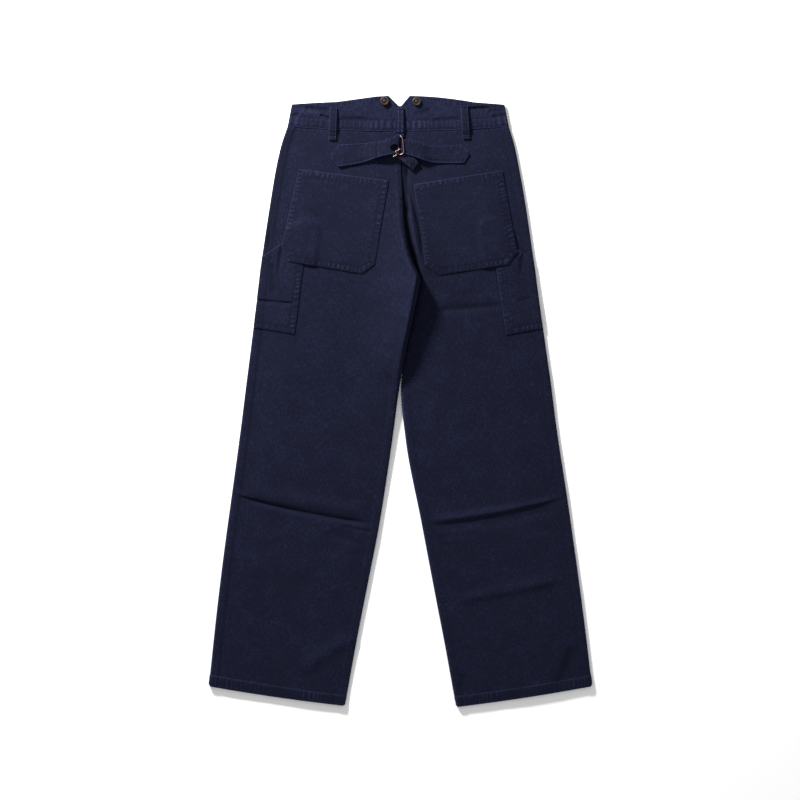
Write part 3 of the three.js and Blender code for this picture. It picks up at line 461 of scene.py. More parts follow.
def lines(rows, from_edge):
    """Sum of the lines of a table, given the distances from the edges that it names."""
    return sum(strength * bell(from_edge[edge] - at, reach) for edge, at, reach, strength in rows)


def rounding(from_edge, radius):
    """Share of an edge's radius by which its rounding lowers the cloth."""
    roll = np.clip(1 - from_edge / radius, 0, 1)
    return 1 - np.sqrt(1 - roll * roll)


def value_at(rows, column, place, key="down"):
    """Value of a column on a smooth curve through a table's rows that never overshoots them."""
    at, values = rows[key], rows[column]
    slope = np.diff(values) / np.diff(at)
    product = slope[:-1] * slope[1:]
    total = np.where(product > 0, slope[:-1] + slope[1:], 1)
    inner = np.where(product > 0, 2 * product / total, 0)
    tangent = np.concatenate([slope[:1], inner, slope[-1:]])
    i = np.clip(np.searchsorted(at, place, side="right") - 1, 0, len(at) - 2)
    span = at[i + 1] - at[i]
    t = (place - at[i]) / span
    bend = (1 - t) * (tangent[i] - slope[i]) - t * (tangent[i + 1] - slope[i])
    return mix(values[i], values[i + 1], t) + t * (1 - t) * span * bend


def section_at(side, down):
    """The section across a leg at each distance down from the waist seam."""
    in_body = down < side["leg"]["down"][0]
    section = {"down": down, "from_hem": side["leg"]["down"][-1] - down, "side": side}
    for name in SECTION[1:]:
        body, leg = value_at(side["body"], name, down), value_at(side["leg"], name, down)
        section[name] = np.where(in_body, body, leg)
    run_x = section["inner_x"] - section["outer_x"]
    run_y = section["inner_y"] - section["outer_y"]
    section["width"] = np.hypot(run_x, run_y)
    section["across_x"], section["across_y"] = run_x / section["width"], run_y / section["width"]
    return section


def plan_point(section, from_side):
    share = from_side / section["width"]
    sag = section["bow"] * 4 * share * (1 - share)
    x = mix(section["outer_x"], section["inner_x"], share)
    return x, mix(section["outer_y"], section["inner_y"], share) - sag


def back_height(section, from_side):
    """Height of a back panel's outer side between its two turned edges."""
    from_inner = section["width"] - from_side
    base = mix(SIDE_TOP, section["crown"], smooth((from_side - SIDE_TURN) / SIDE_RISE))
    fold = np.clip(1 - np.maximum(from_inner - section["turn"], 0) / FOLD_REACH, 0, 1) ** 2
    height = mix(base, section["edge"], fold)
    folds, share = section["side"]["folds"], from_side / section["width"]
    for i in range(len(folds["rise"])):
        along = (share - folds["from_share"][i]) / (folds["to_share"][i] - folds["from_share"][i])
        middle = mix(folds["from_down"][i], folds["to_down"][i], along)
        ends = smooth(along / FOLD_ENDS) * smooth((1 - along) / FOLD_ENDS)
        height = height + folds["rise"][i] * ends * bell(section["down"] - middle, folds["width"][i])
    return height


def back_curve(section, q):
    """Point of a back panel, and its distance from the side; q runs from 0 at the side to 3."""
    angle = (1 - np.clip(q, 0, 1)) * QUARTER
    turned = np.clip(q - 2, 0, 1)
    roll = section["roll"]
    flat = mix(SIDE_TURN, section["width"] - section["turn"], np.clip(q - 1, 0, 1))
    from_inner = section["turn"] * mix(1 - turned, 1 - np.sin(turned * QUARTER), roll)
    from_side = np.where(q < 1, SIDE_TURN * (1 - np.sin(angle)), flat)
    from_side = np.where(q > 2, section["width"] - from_inner, from_side)
    top = back_height(section, flat)
    fall = mix(smooth(1 - turned), np.cos(turned * QUARTER), roll)
    z = np.where(q < 1, mix(BACK_RIM, top, np.cos(angle)), top)
    z = np.where(q > 2, mix(section["rim"], top, fall), z)
    x, y = plan_point(section, from_side)
    return np.stack([x, y, z], axis=-1), from_side


def front_curve(section, q):
    """Point of a front panel, which lies on the floor and rolls up at both edges of a leg."""
    at_side = q < 1
    past = np.where(at_side, 1 - q, np.maximum(q - 2, 0))
    angle = np.clip(past, 0, 1) * QUARTER
    crotch = section["side"]["leg"]["down"][0]
    start = CENTRE_TURN_START
    roll = np.where(at_side, 1, smooth((section["down"] - start) / (crotch - start)))
    from_edge = SIDE_TURN * mix(1 - past, 1 - np.sin(angle), roll)
    flat = mix(SIDE_TURN, section["width"] - SIDE_TURN, np.clip(q - 1, 0, 1))
    rolled = np.where(at_side, from_edge, section["width"] - from_edge)
    from_side = np.where(past > 0, rolled, flat)
    x, y = plan_point(section, from_side)
    z = np.where(past > 0, FRONT_RIM * (1 - np.cos(angle)) * roll, 0)
    return np.stack([x, y, z], axis=-1), from_side


def moved_out(curve, section, q, lift):
    """Points of a section's curve, moved out of the cloth square to the curve."""
    after = curve(section, np.minimum(q + CURVE_STEP, 3))[0]
    change = after - curve(section, np.maximum(q - CURVE_STEP, 0))[0]
    along = change[:, 0] * section["across_x"] + change[:, 1] * section["across_y"]
    length = np.hypot(along, change[:, 2])
    point = curve(section, q)[0]
    sideways = lift * change[:, 2] / length
    point[:, 0] -= sideways * section["across_x"]
    point[:, 1] -= sideways * section["across_y"]
    point[:, 2] += lift * along / length
    return point


def front_side(side):
    """The front is cut like the back, but its waist is lower at the centre."""
    body = {name: column.copy() for name, column in side["body"].items()}
    body["inner_y"][0] -= FRONT_DIP
    body["bow"][0] = 0
    return {**side, "body": body}


def place_on_back(side, x, y):
    """Where points of the plan lie on a back panel."""
    down = WAIST_Y - y
    for _ in range(PLACE_TRIES):
        section = section_at(side, down)
        past_x, past_y = x - section["outer_x"], y - section["outer_y"]
        from_side = past_x * section["across_x"] + past_y * section["across_y"]
        down = down + plan_point(section, from_side)[1] - y
    return section_at(side, down), from_side


def column_at(section, from_side):
    rolled = 1 - np.arcsin(np.clip(1 - from_side / SIDE_TURN, -1, 1)) / QUARTER
    flat = 1 + (from_side - SIDE_TURN) / (section["width"] - section["turn"] - SIDE_TURN)
    return np.where(from_side < SIDE_TURN, rolled, flat)


def soft_noise(x, y, size, seed):
    """Smooth random value of about -1 to 1 that changes over the given size."""
    return np.array([noise.noise(Vector((a, b, seed))) for a, b in zip(x / size, y / size)])


def ladder(along, length, seed):
    """Uneven puckers between 0 and 1 along a seam."""
    drift = 0.34 * np.sin(along / 19 + seed) + 0.26 * np.sin(along / 7.9 + 2.1 * seed)
    drift += 0.12 * np.sin(along / 4.3 + 1.3 * seed)
    wave = 0.5 + 0.5 * np.cos(2 * math.pi * (along / length + drift))
    strength = 0.66 + 0.2 * np.sin(along / 31 + 3.3 * seed) + 0.22 * np.sin(along / 11.7 + 1.9 * seed)
    return wave ** 1.3 * np.clip(strength, 0.1, 1)


def two_lobes(away, along, near, far, seed):
    """Puckers beside two rows of stitches: long ones out to near, short ones out to far."""
    inner = ladder(along, PUCKER_LENGTH, seed) * band_of(away, 1.6, near, 3)
    outer = ladder(along, PUCKER_LENGTH * 0.92, seed + 2.7) * band_of(away, near + 1.2, far, 3)
    return inner + 0.6 * outer


def creases(rows, x, y):
    """Height that a table of creases adds at points of the plan."""
    height = np.zeros_like(x)
    for i in range(len(rows["rise"])):
        start = np.array([rows["from_x"][i], rows["from_y"][i]])
        run = np.array([rows["to_x"][i], rows["to_y"][i]]) - start
        length = np.hypot(*run)
        along = ((x - start[0]) * run[0] + (y - start[1]) * run[1]) / length ** 2
        inside = np.clip(along, 0, 1)
        off = ((y - start[1]) * run[0] - (x - start[0]) * run[1]) / length
        off = off - rows["bow"][i] * 4 * inside * (1 - inside)
        half = np.where(off > 0, rows["left"][i], rows["right"][i])
        ends = smooth(along / 0.16) * smooth((1 - along) / 0.22)
        uneven = 0.9 + 0.16 * np.sin(along * 7 + i) + 0.08 * np.sin(along * 19 + 2.7 * i)
        height = height + rows["rise"][i] * ends * uneven * bell(off, half)
    return height * sizes().crease


def border(points, x, y):
    """Distance to the nearest side of a line of points, and the length along the line there."""
    nearest, along, done = np.full(len(x), 1e9), np.zeros(len(x)), 0.0
    for a, b in zip(points[:-1], points[1:]):
        run = b - a
        length = np.hypot(*run)
        share = np.clip(((x - a[0]) * run[0] + (y - a[1]) * run[1]) / length ** 2, 0, 1)
        away = np.hypot(x - a[0] - share * run[0], y - a[1] - share * run[1])
        closer = away < nearest
        along = np.where(closer, done + share * length, along)
        nearest = np.where(closer, away, nearest)
        done += length
    return nearest, along


def between_edges(rows, share, fall):
    """A point of the plan between a table's top and low edge, at shares of the way across and down."""
    ends = [np.interp(share, rows["share"], rows[name]) for name in PATCH[1:]]
    return mix(ends[0], ends[2], fall), mix(ends[1], ends[3], fall)


def inside_outline(points, x, y):
    inside = np.zeros(len(x), bool)
    for a, b in zip(points, np.roll(points, -1, axis=0)):
        if a[1] != b[1]:
            crosses = (a[1] > y) != (b[1] > y)
            inside ^= crosses & (x < (b[0] - a[0]) * (y - a[1]) / (b[1] - a[1]) + a[0])
    return inside


def patch_lines(patch):
    """A patch's top edge, its sewn sides as one line from the top's inner end, and its corners in order."""
    top = np.stack([patch["top_x"], patch["top_y"]], axis=1)
    low = np.stack([patch["low_x"], patch["low_y"]], axis=1)
    in_side_seam = len(top) == 3
    outer = top[:0] if in_side_seam else top[:1]
    return top, np.concatenate([top[-1:], low[::-1], outer]), np.concatenate([top, low[::-1]])


def offset_line(points, distance):
    """A line of points moved to its left hand by a distance, with mitred corners."""
    run = np.diff(points, axis=0)
    run /= np.hypot(run[:, 0], run[:, 1])[:, None]
    hand = np.stack([-run[:, 1], run[:, 0]], axis=1)
    before, after = np.concatenate([hand[:1], hand]), np.concatenate([hand, hand[-1:]])
    both = before + after
    return points + both * (distance * 2 / (both ** 2).sum(axis=1))[:, None]


def sizes():
    return bpy.context.scene.trousers_sizes


def ground(section, from_side, x, y):
    """Height, and wear with painted shade, that a back panel shares with what lies on it: creases, waves and
    seam allowances.
    """
    crease, wave = creases(BACK_CREASES, x, y), sizes().wave / MM
    height = crease + wave * soft_noise(x, y, 78, 1.5) + 0.3 * wave * soft_noise(x, y, 24, 7.5)
    leg = smooth((section["down"] - CROTCH_DOWN - 60) / 60)
    height += 0.6 * band_of(from_side, 3, 13.5, 4)
    height += 0.6 * leg * band_of(section["width"] - from_side, 3, 13.5, 4)
    # Ridges rub pale, and the crease troughs are darkened with painted shade
    wear = 0.19 * np.maximum(crease, -2) * np.where(crease < 0, 1, 0.25)
    return height, wear


def cloth_grid(name, columns, rows, place):
    """A sheet of quads whose own coordinates, 0 to 1 across and down, are moved to their place.

    place takes both and returns the points in millimetres, the threads' coordinates and the wear and painted
    shade: rubbed and highlighted cloth is paler, cloth with painted shade is darker.
    """
    bm = bmesh.new()
    bmesh.ops.create_grid(bm, x_segments=columns, y_segments=rows, size=0.5)
    mesh = bpy.data.meshes.new(name)
    bm.to_mesh(mesh)
    bm.free()
    flat = np.empty(len(mesh.vertices) * 3)
    mesh.vertices.foreach_get("co", flat)
    flat = flat.reshape(-1, 3)
    points, threads, wear = place(flat[:, 0] + 0.5, 0.5 - flat[:, 1])
    mesh.vertices.foreach_set("co", (points * MM).ravel())
    corner = np.empty(len(mesh.loops), np.int32)
    mesh.loops.foreach_get("vertex_index", corner)
    uv = mesh.uv_layers.new(name="threads")
    uv.data.foreach_set("uv", np.stack(threads, axis=1)[corner].ravel())
    # Wear and painted light: paler where the cloth is rubbed or a highlight is painted, darker where shade is
    # painted
    mesh.attributes.new("wear", "FLOAT", "POINT").data.foreach_set("value", np.clip(wear, -1, 1))
    return mesh


def linked(name, data):
    """A new object in the scene."""
    item = bpy.data.objects.new(name, data)
    bpy.context.scene.collection.objects.link(item)
    return item


def new_piece(name, mesh, maker, node=None):
    """Links a mesh as a shaded piece that rides with the trousers and stands for a node, if one is given."""
    piece = linked(name, mesh)
    mesh.materials.clear()
    mesh.materials.append(material_of(maker))
    mesh.shade_smooth()
    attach(piece, "root")
    if node:
        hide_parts(node)
    return piece


def wall(piece, thickness, edge):
    """Gives a sheet its thickness inwards, with rounded rims where edge is their radius."""
    solid = piece.modifiers.new("cloth", "SOLIDIFY")
    solid.thickness = thickness
    solid.offset = -1
    if edge:
        bevel = piece.modifiers.new("edges", "BEVEL")
        bevel.width = edge
        bevel.segments = 2
        bevel.limit_method = "ANGLE"
        bevel.angle_limit = EDGE_ANGLE
    bpy.context.view_layer.update()
    graph = bpy.context.evaluated_depsgraph_get()
    solid_mesh = bpy.data.meshes.new_from_object(piece.evaluated_get(graph))
    piece.modifiers.clear()
    piece.data = solid_mesh
    solid_mesh.name = piece.name
    solid_mesh.set_sharp_from_angle(angle=SHARP_ANGLE)


SKINS = {}


def cloth_piece(node, grid, place, up=1, thickness=None, edge=0, opening=None):
    """One piece of canvas from its grid, in the place of a node.

    cut is its flat width and length and the share of them that is cloth, rests_on names the nodes under it,
    up is -1 where its outer side faces down, and opening cuts a hole in its mesh.
    """
    name = f"{node}_cloth"
    mesh = cloth_grid(name, *grid, place)
    mesh.update()
    facing = sum(polygon.normal.z * polygon.area for polygon in mesh.polygons)
    if facing * up < 0:
        mesh.flip_normals()
    if opening:
        opening(mesh)
    bm = bmesh.new()
    bm.from_mesh(mesh)
    SKINS[name] = BVHTree.FromBMesh(bm)
    bm.free()
    piece = new_piece(name, mesh, washed_cotton_canvas, node)
    wall(piece, thickness or sizes().canvas, edge)
    return piece


# Materials


def add_node(tree, kind, inputs=None, stops=(), **settings):
    """Adds a node with its settings, input values and links, which are (node, output) pairs.

    stops are the positions and linear colours of a colour ramp.
    """
    node = tree.nodes.new(kind)
    for key, value in settings.items():
        setattr(node, key, value)
    for key, value in (inputs or {}).items():
        if isinstance(value, tuple) and isinstance(value[0], bpy.types.Node):
            tree.links.new(value[0].outputs[value[1]], node.inputs[key])
        else:
            node.inputs[key].default_value = value
    for i, (position, colour) in enumerate(stops):
        element = node.color_ramp.elements[i] if i < 2 else node.color_ramp.elements.new(1)
        element.position = position
        element.color = (*colour, 1)
    return node


def material_of(maker):
    """The material that is named after its maker, which is made when it is first asked for."""
    name = maker.__name__
    if name not in bpy.data.materials:
        material = bpy.data.materials.new(name)
        material.use_nodes = True
        tree = material.node_tree
        tree.nodes.clear()
        shader = maker(tree, bpy.context.scene.trousers_colours)
        add_node(tree, "ShaderNodeOutputMaterial", {"Surface": (shader, "BSDF")})
    return bpy.data.materials[name]


# A wave texture's band repeats every 2 pi / 20 of its coordinates at a scale of 1
WAVE_UNIT = math.pi / 10
THREAD_PITCH = 0.9  # real canvas has a thread every 0.5 mm; drawn coarser so that it shows close up
SLUB = (1.7, 9.0)  # thickness and length of the uneven threads, drawn coarser as well


def washed_cotton_canvas(tree, colours):
    """Heavy cotton canvas, garment dyed and washed.

    Matt with a soft nap and a fine plain weave of uneven threads, pale where seams rub and where highlights
    are painted, darkened by painted shade in hollows, mottled by the wash.
    """
    threads = add_node(tree, "ShaderNodeUVMap", uv_map="threads")
    wear = add_node(tree, "ShaderNodeAttribute", attribute_name="wear")
    slubs, bands = [], []
    for direction, size in (("X", (*SLUB, 1)), ("Y", (*SLUB[::-1], 1))):
        stretched = add_node(tree, "ShaderNodeMapping", {
            "Vector": (threads, "UV"), "Scale": tuple(1 / s for s in size),
        })
        slubs.append(add_node(tree, "ShaderNodeTexNoise", {
            "Vector": (stretched, "Vector"), "Scale": 1.0, "Detail": 2.0,
        }))
        bands.append(add_node(tree, "ShaderNodeTexWave", {
            "Vector": (threads, "UV"), "Scale": WAVE_UNIT / THREAD_PITCH, "Distortion": 0.0,
        }, bands_direction=direction))
    weave = add_node(
        tree, "ShaderNodeMath", {0: (bands[0], "Fac"), 1: (bands[1], "Fac")}, operation="MULTIPLY")
    weft = add_node(tree, "ShaderNodeMath", {0: (slubs[1], "Fac"), 1: 0.4}, operation="MULTIPLY")

    place = add_node(tree, "ShaderNodeTexCoord")
    wash = add_node(tree, "ShaderNodeTexNoise", {
        "Vector": (place, "Object"), "Scale": 1 / (34 * MM), "Detail": 5.0, "Roughness": 0.62,
    })
    grain = add_node(tree, "ShaderNodeTexNoise", {
        "Vector": (place, "Object"), "Scale": 1 / (3.4 * MM), "Detail": 3.0, "Roughness": 0.7,
    })
    # Painted shade and highlight: low values of the attribute turn the canvas to the shaded navy, high ones
    # to the faded and lit navy
    shade = add_node(tree, "ShaderNodeMapRange", {"Value": (wear, "Fac"), "From Min": -1.0, "From Max": 1.0})

    slub = add_node(
        tree, "ShaderNodeMath", {0: (slubs[0], "Fac"), 1: 0.6, 2: (weft, "Value")}, operation="MULTIPLY_ADD")
    tone = (shade, "Result")
    for value, share in (((wash, "Fac"), 0.2), ((grain, "Fac"), 0.3), ((slub, "Value"), 0.6)):
        lighter = add_node(tree, "ShaderNodeMath", {0: value, 1: share, 2: tone}, operation="MULTIPLY_ADD")
        tone = (lighter, "Value")
    centred = add_node(tree, "ShaderNodeMath", {0: tone, 1: 0.55}, operation="SUBTRACT")
    colour = add_node(
        tree, "ShaderNodeValToRGB", {"Fac": (centred, "Value")},
        stops=[(0.0, colours.shaded_navy), (0.5, colours.navy), (1.0, colours.faded_and_lit)])
    relief = add_node(
        tree, "ShaderNodeMath", {0: (weave, "Value"), 1: 0.5, 2: (slub, "Value")}, operation="MULTIPLY_ADD")
    fine = add_node(tree, "ShaderNodeBump", {
        "Strength": 0.55, "Distance": 0.3 * MM, "Height": (relief, "Value"),
    })
    bump = add_node(tree, "ShaderNodeBump", {
        "Strength": 0.5, "Distance": 0.6 * MM, "Height": (grain, "Fac"), "Normal": (fine, "Normal"),
    })
    return add_node(tree, "ShaderNodeBsdfPrincipled", {
        "Base Color": (colour, "Color"), "Normal": (bump, "Normal"), "Roughness": 0.9, "IOR": 1.45,
        "Specular IOR Level": 0.06,
    })


def spun_thread(tree, colours):
    """Spun polyester sewing thread: a twisted strand with a faint shine, seen as fine slanting ribs."""
    place = add_node(tree, "ShaderNodeTexCoord")
    twist = add_node(tree, "ShaderNodeTexNoise", {
        "Vector": (place, "Object"), "Scale": 1 / (0.7 * MM), "Detail": 2.0,
    })
    colour = add_node(
        tree, "ShaderNodeValToRGB", {"Fac": (twist, "Fac")},
        stops=[(0.3, colours.navy), (0.7, colours.thread)])
    bump = add_node(tree, "ShaderNodeBump", {"Strength": 0.4, "Distance": 0.1 * MM, "Height": (twist, "Fac")})
    return add_node(tree, "ShaderNodeBsdfPrincipled", {
        "Base Color": (colour, "Color"), "Normal": (bump, "Normal"), "Roughness": 0.62, "IOR": 1.5,
        "Specular IOR Level": 0.06,
    })


def drawn_copper_wire(tree, colours):
    """Copper-plated steel wire, drawn: fine scratches soften the reflections, and it is dull between them."""
    place = add_node(tree, "ShaderNodeTexCoord")
    scratches = add_node(tree, "ShaderNodeTexNoise", {
        "Vector": (place, "Object"), "Scale": 1 / (0.5 * MM), "Detail": 3.0,
    })
    rough = add_node(tree, "ShaderNodeMapRange", {
        "Value": (scratches, "Fac"), "To Min": 0.32, "To Max": 0.52,
    })
    dull = tuple(0.7 * c for c in colours.copper)
    colour = add_node(
        tree, "ShaderNodeValToRGB", {"Fac": (scratches, "Fac")}, stops=[(0.35, dull), (0.6, colours.copper)])
    return add_node(tree, "ShaderNodeBsdfPrincipled", {
        "Base Color": (colour, "Color"), "Roughness": (rough, "Result"), "Metallic": 1.0,
    })


def tumbled_bronze(tree, colours):
    """Stamped brass, browned and tumbled: dark in the hollows and rubbed bright on the rims."""
    place = add_node(tree, "ShaderNodeTexCoord")
    spots = add_node(tree, "ShaderNodeTexNoise", {
        "Vector": (place, "Object"), "Scale": 1 / (1.6 * MM), "Detail": 4.0, "Roughness": 0.65,
    })
    edges = add_node(tree, "ShaderNodeAttribute", attribute_name="wear")
    rubbed = add_node(
        tree, "ShaderNodeMath", {0: (edges, "Fac"), 1: 0.5, 2: (spots, "Fac")}, operation="MULTIPLY_ADD")
    dark = tuple(0.35 * c for c in colours.bronze)
    colour = add_node(
        tree, "ShaderNodeValToRGB", {"Fac": (rubbed, "Value")},
        stops=[(0.3, dark), (0.55, colours.bronze), (0.9, colours.worn_bronze)])
    rough = add_node(tree, "ShaderNodeMapRange", {"Value": (spots, "Fac"), "To Min": 0.3, "To Max": 0.62})
    bump = add_node(tree, "ShaderNodeBump", {
        "Strength": 0.4, "Distance": 0.15 * MM, "Height": (spots, "Fac"),
    })
    return add_node(tree, "ShaderNodeBsdfPrincipled", {
        "Base Color": (colour, "Color"), "Roughness": (rough, "Result"), "Normal": (bump, "Normal"),
        "Metallic": 0.9,
    })


def white_paper(tree, colours):
    """Matt white paper, coated: plain, with no shine."""
    return add_node(tree, "ShaderNodeBsdfPrincipled", {
        "Base Color": (*colours.floor, 1), "Roughness": 0.95, "Specular IOR Level": 0.1,
    })


# Leg panels

COLUMN_STOPS = ((0, 0.03, 0.95, 1), (0, 1, 2, 3))
BACK_GRID = (150, 318)
FRONT_GRID = (84, 220)


def row_stops(length, knee):
    """Shares of the rows, and the distances down that they reach: close at waist, knee and hem."""
    return (0, 0.035, 0.52, 0.62, 0.89, 1), (0, 8, knee - 22, knee + 22, length - 24, length)


def inside_turns(q):
    """1 between the turned edges of a panel, and 0 at its rims."""
    return smooth((3 - q) / 0.7) * smooth(q / 0.8)


def puckers_beside_patches(side, x, y):
    """Puckers that a pocket's stitches draw into the cloth round it, and painted shade on the cloth just
    outside its edge.
    """
    height, wear = np.zeros_like(x), np.zeros_like(x)
    for seed, patch in enumerate(side["patches"]):
        _, sewn, corners = patch_lines(patch)
        away, along = border(sewn, x, y)
        beside = bell(away, 5.0) * ~inside_outline(corners, x, y)
        height += 0.35 * beside * (ladder(along, PUCKER_LENGTH, 1.3 + seed) - 0.55)
        # Painted shade on the panel along the outside of the pocket's raised edge
        wear -= 0.35 * beside * bell(away, 1.6)
    return height, wear


def back_relief(section, q, from_side, x, y):
    """Lift of a back panel's own surface, and its wear with painted shade and highlights."""
    side, down, from_hem = section["side"], section["down"], section["from_hem"]
    from_inner = section["width"] - from_side
    edges = {"waist": down, "hem": from_hem, "side": from_side, "inner": from_inner}
    pucker = sizes().pucker / MM
    lift, wear = ground(section, from_side, x, y)
    beside, dark = puckers_beside_patches(side, x, y)
    lift = (lift + beside) * inside_turns(q) + lines(BACK_RELIEF, edges)
    lift += 0.5 * pucker * (ladder(from_side, PUCKER_LENGTH, 4.0) - 0.4) * band_of(down, 1.5, 9, 4)
    wear += dark + lines(BACK_WEAR_AND_SHADE, edges)

    body = smooth((CROTCH_DOWN - 4 - down) / 6)
    if side["felled"]:
        rung = ladder(down, 7.0, 2.0)
        strip = body * band_of(from_inner, 0.4, FELL_WIDTH, 1.2)
        lift += strip * (0.45 + pucker * 0.7 * (rung - 0.4) * band_of(from_inner, 2, 9, 3))
        # Rubbed pale on the felled strip's folds and ridges; painted shade at the seam's edge and between the
        # strip's puckers
        wear += body * lines(FELL_WEAR_AND_SHADE, edges) - 0.25 * strip * (1 - rung)
        # Painted shade along the left side seam, fading out below the seat
        wear -= 0.26 * bell(from_side, 9) * smooth((300 - down) / 60)
    else:
        # Painted shade in the trough beside the centre seam, on the right panel
        wear -= 0.5 * body * bell(from_inner, 4.0)
    # Paler along the inside leg's edge below the crotch: rubbed, and partly a painted highlight where the
    # edge stands lit beside the shade
    wear += 0.35 * bell(from_inner, 3.0) * smooth((down - CROTCH_DOWN) / 10)

    rung = ladder(from_side, HEM_PUCKER_LENGTH, 6.0)
    hem = band_of(from_hem, -3, HEM, 1.2)
    lift += hem * HEM_RAISE + pucker * (rung - 0.35) * band_of(from_hem, 2, HEM - 1, 5)
    lift -= 1.2 * rounding(from_hem, 1.6)
    # Pucker crests of the hem rubbed pale, with painted shade between them
    wear += hem * (0.4 * rung - 0.2)
    return lift, wear


def front_relief(section, q, from_side, x, y):
    """Lift and wear of a front panel, whose creases are troughs in the flat underside."""
    from_hem = section["from_hem"]
    rung = ladder(from_side, HEM_PUCKER_LENGTH, 8.0)
    depth = 0.4 * np.abs(soft_noise(x, y, 60, 3.5)) - creases(FRONT_CREASES, x, y)
    depth += 0.5 * (1 - rung) * band_of(from_hem, 2, HEM, 3) + TROUGH * bell(from_hem - HEM_ROW, 2)
    if section["side"]["felled"]:
        for row in FLY_ROWS:
            depth += TROUGH * bell(border(np.array(row), x, y)[0], 2.4)
    wear = 0.4 * rung * band_of(from_hem, 0, HEM, 2) + 0.5 * bell(from_hem, 1.6)
    return depth * inside_turns(q), wear


def hem_corner(section, from_side):
    """How far a hem's rounded corners draw the cloth up."""
    edge = np.minimum(from_side, section["width"] - from_side)
    out = np.clip(HEM_CORNER - edge, 0, HEM_CORNER)
    return (HEM_CORNER - np.sqrt(HEM_CORNER ** 2 - out ** 2)) * np.clip(1 - section["from_hem"] / 30, 0, 1)


def leg_place(side, curve, relief):
    """Gives the place function of a leg panel's grid from its curve and its relief."""
    length, knee = side["leg"]["down"][-1], side["folds"]["from_down"][0]

    def place(across, down_share):
        q = np.interp(across, *COLUMN_STOPS)
        section = section_at(side, np.interp(down_share, *row_stops(length, knee)))
        point, from_side = curve(section, q)
        lift, wear = relief(section, q, from_side, point[:, 0], point[:, 1])
        moved = moved_out(curve, section, q, lift)
        moved[:, 1] += hem_corner(section, from_side)
        return moved, (from_side, section["down"]), wear

    return place


class TROUSERS_OT_leg_panels(bpy.types.Operator):
    """Makes the flat front leg panels, and the back ones with their creases and the felled centre seam"""

    bl_idname = "trousers.leg_panels"
    bl_label = "Leg panels"

    def execute(self, context):
        for name, side in SIDES.items():
            place = leg_place(front_side(side), front_curve, front_relief)
            cloth_piece(f"front_{name}", FRONT_GRID, place, up=-1)
        for name, side in SIDES.items():
            place = leg_place(side, back_curve, back_relief)
            cloth_piece(f"back_{name}", BACK_GRID, place)
        return {"FINISHED"}


# Waistband


def band_edges(side):
    """Top edge and waist seam of a half of the waistband, for each share from the side to the centre."""
    waist = section_at(side, np.array([0.0]))
    edge = side["band"]
    share = (edge["x"] - edge["x"][0]) / (edge["x"][-1] - edge["x"][0])
    low_x, low_y = plan_point(waist, share * waist["width"])
    return {"share": share, "top_x": edge["x"], "top_y": edge["y"], "low_x": low_x, "low_y": low_y + SEAM_GAP}


def band_height(share, fall):
    crown = np.sin(math.pi * np.clip(share, 0, 1)) ** BAND_FULLNESS
    return BAND_TOP + BAND_CROWN * crown * mix(1, BAND_CROWN_LOW, fall)


BACK_BAND_GRID = (132, 40)
FRONT_BAND_GRID = (96, 48)
FRONT_BAND_CLOTH = 1.4
BAND_RIM = 0.3
BAND_LAP = 0.6  # how far the waistband is sewn over the panel
BAND_COLUMN_STOPS = ((0, 0.05, 0.78, 1), (0, 1, 1.87, 2))
BAND_ROW_STOPS = ((0, 0.12, 0.9, 1), (0, 0.05, 0.94, 1 + BAND_LAP / BAND_DEPTH))


def back_band_place(side):
    """Gives the place function of a half of the back waistband."""
    edges = band_edges(side)
    width = abs(edges["top_x"][0] - edges["top_x"][-1])
    turn_share = BAND_TURN / width

    def place(across, down_share):
        q = np.interp(across, *BAND_COLUMN_STOPS)
        fall = np.interp(down_share, *BAND_ROW_STOPS)
        angle = np.clip(1 - q, 0, 1) * QUARTER
        share = np.where(q < 1, turn_share * (1 - np.sin(angle)), np.maximum(q - 1, turn_share))
        x, y = between_edges(edges, share, fall)
        from_top = np.abs(between_edges(edges, share, 0)[1] - y)
        over_seam = y - between_edges(edges, share, 1)[1]
        along, from_edge = share * width, {"top": from_top, "seam": over_seam}
        pucker, crease = sizes().pucker / MM, creases(BAND_CREASES, x, y)
        low, high = ladder(along, PUCKER_LENGTH, 0.7), ladder(along, PUCKER_LENGTH * 0.9, 5.2)
        lift = crease + 0.5 * soft_noise(x, y, 40, 9.5) + 0.12 * soft_noise(x, y, 14, 2.5)
        lift += 1.25 * pucker * (low - 0.4) * band_of(over_seam, 2, BAND_LOW_ROW - 1, 5)
        lift += 0.8 * pucker * (high - 0.4) * band_of(from_top, 1, 9, 5)
        lift += lines(BAND_RELIEF, from_edge) - rounding(from_top, 1.4)
        top = band_height(np.maximum(share - turn_share, 0), fall)
        z = mix(BAND_BACK_RIM, top, np.cos(angle)) + lift * smooth(q / 0.8) - 0.8 * bell(over_seam, 2.2)
        # Crease ridges and pucker crests rubbed pale; painted shade in the crease troughs and between the
        # puckers
        wear = 0.12 + 0.3 * np.clip(crease / 1.6, -1.3, 1) + lines(BAND_WEAR, from_edge)
        wear += 0.36 * (low - 0.3) * band_of(over_seam, 1, BAND_LOW_ROW, 4)
        wear += 0.3 * (high - 0.3) * band_of(from_top, 0, 9, 4)
        return np.stack([x, y, z], axis=-1), (along, -y), wear

    return place


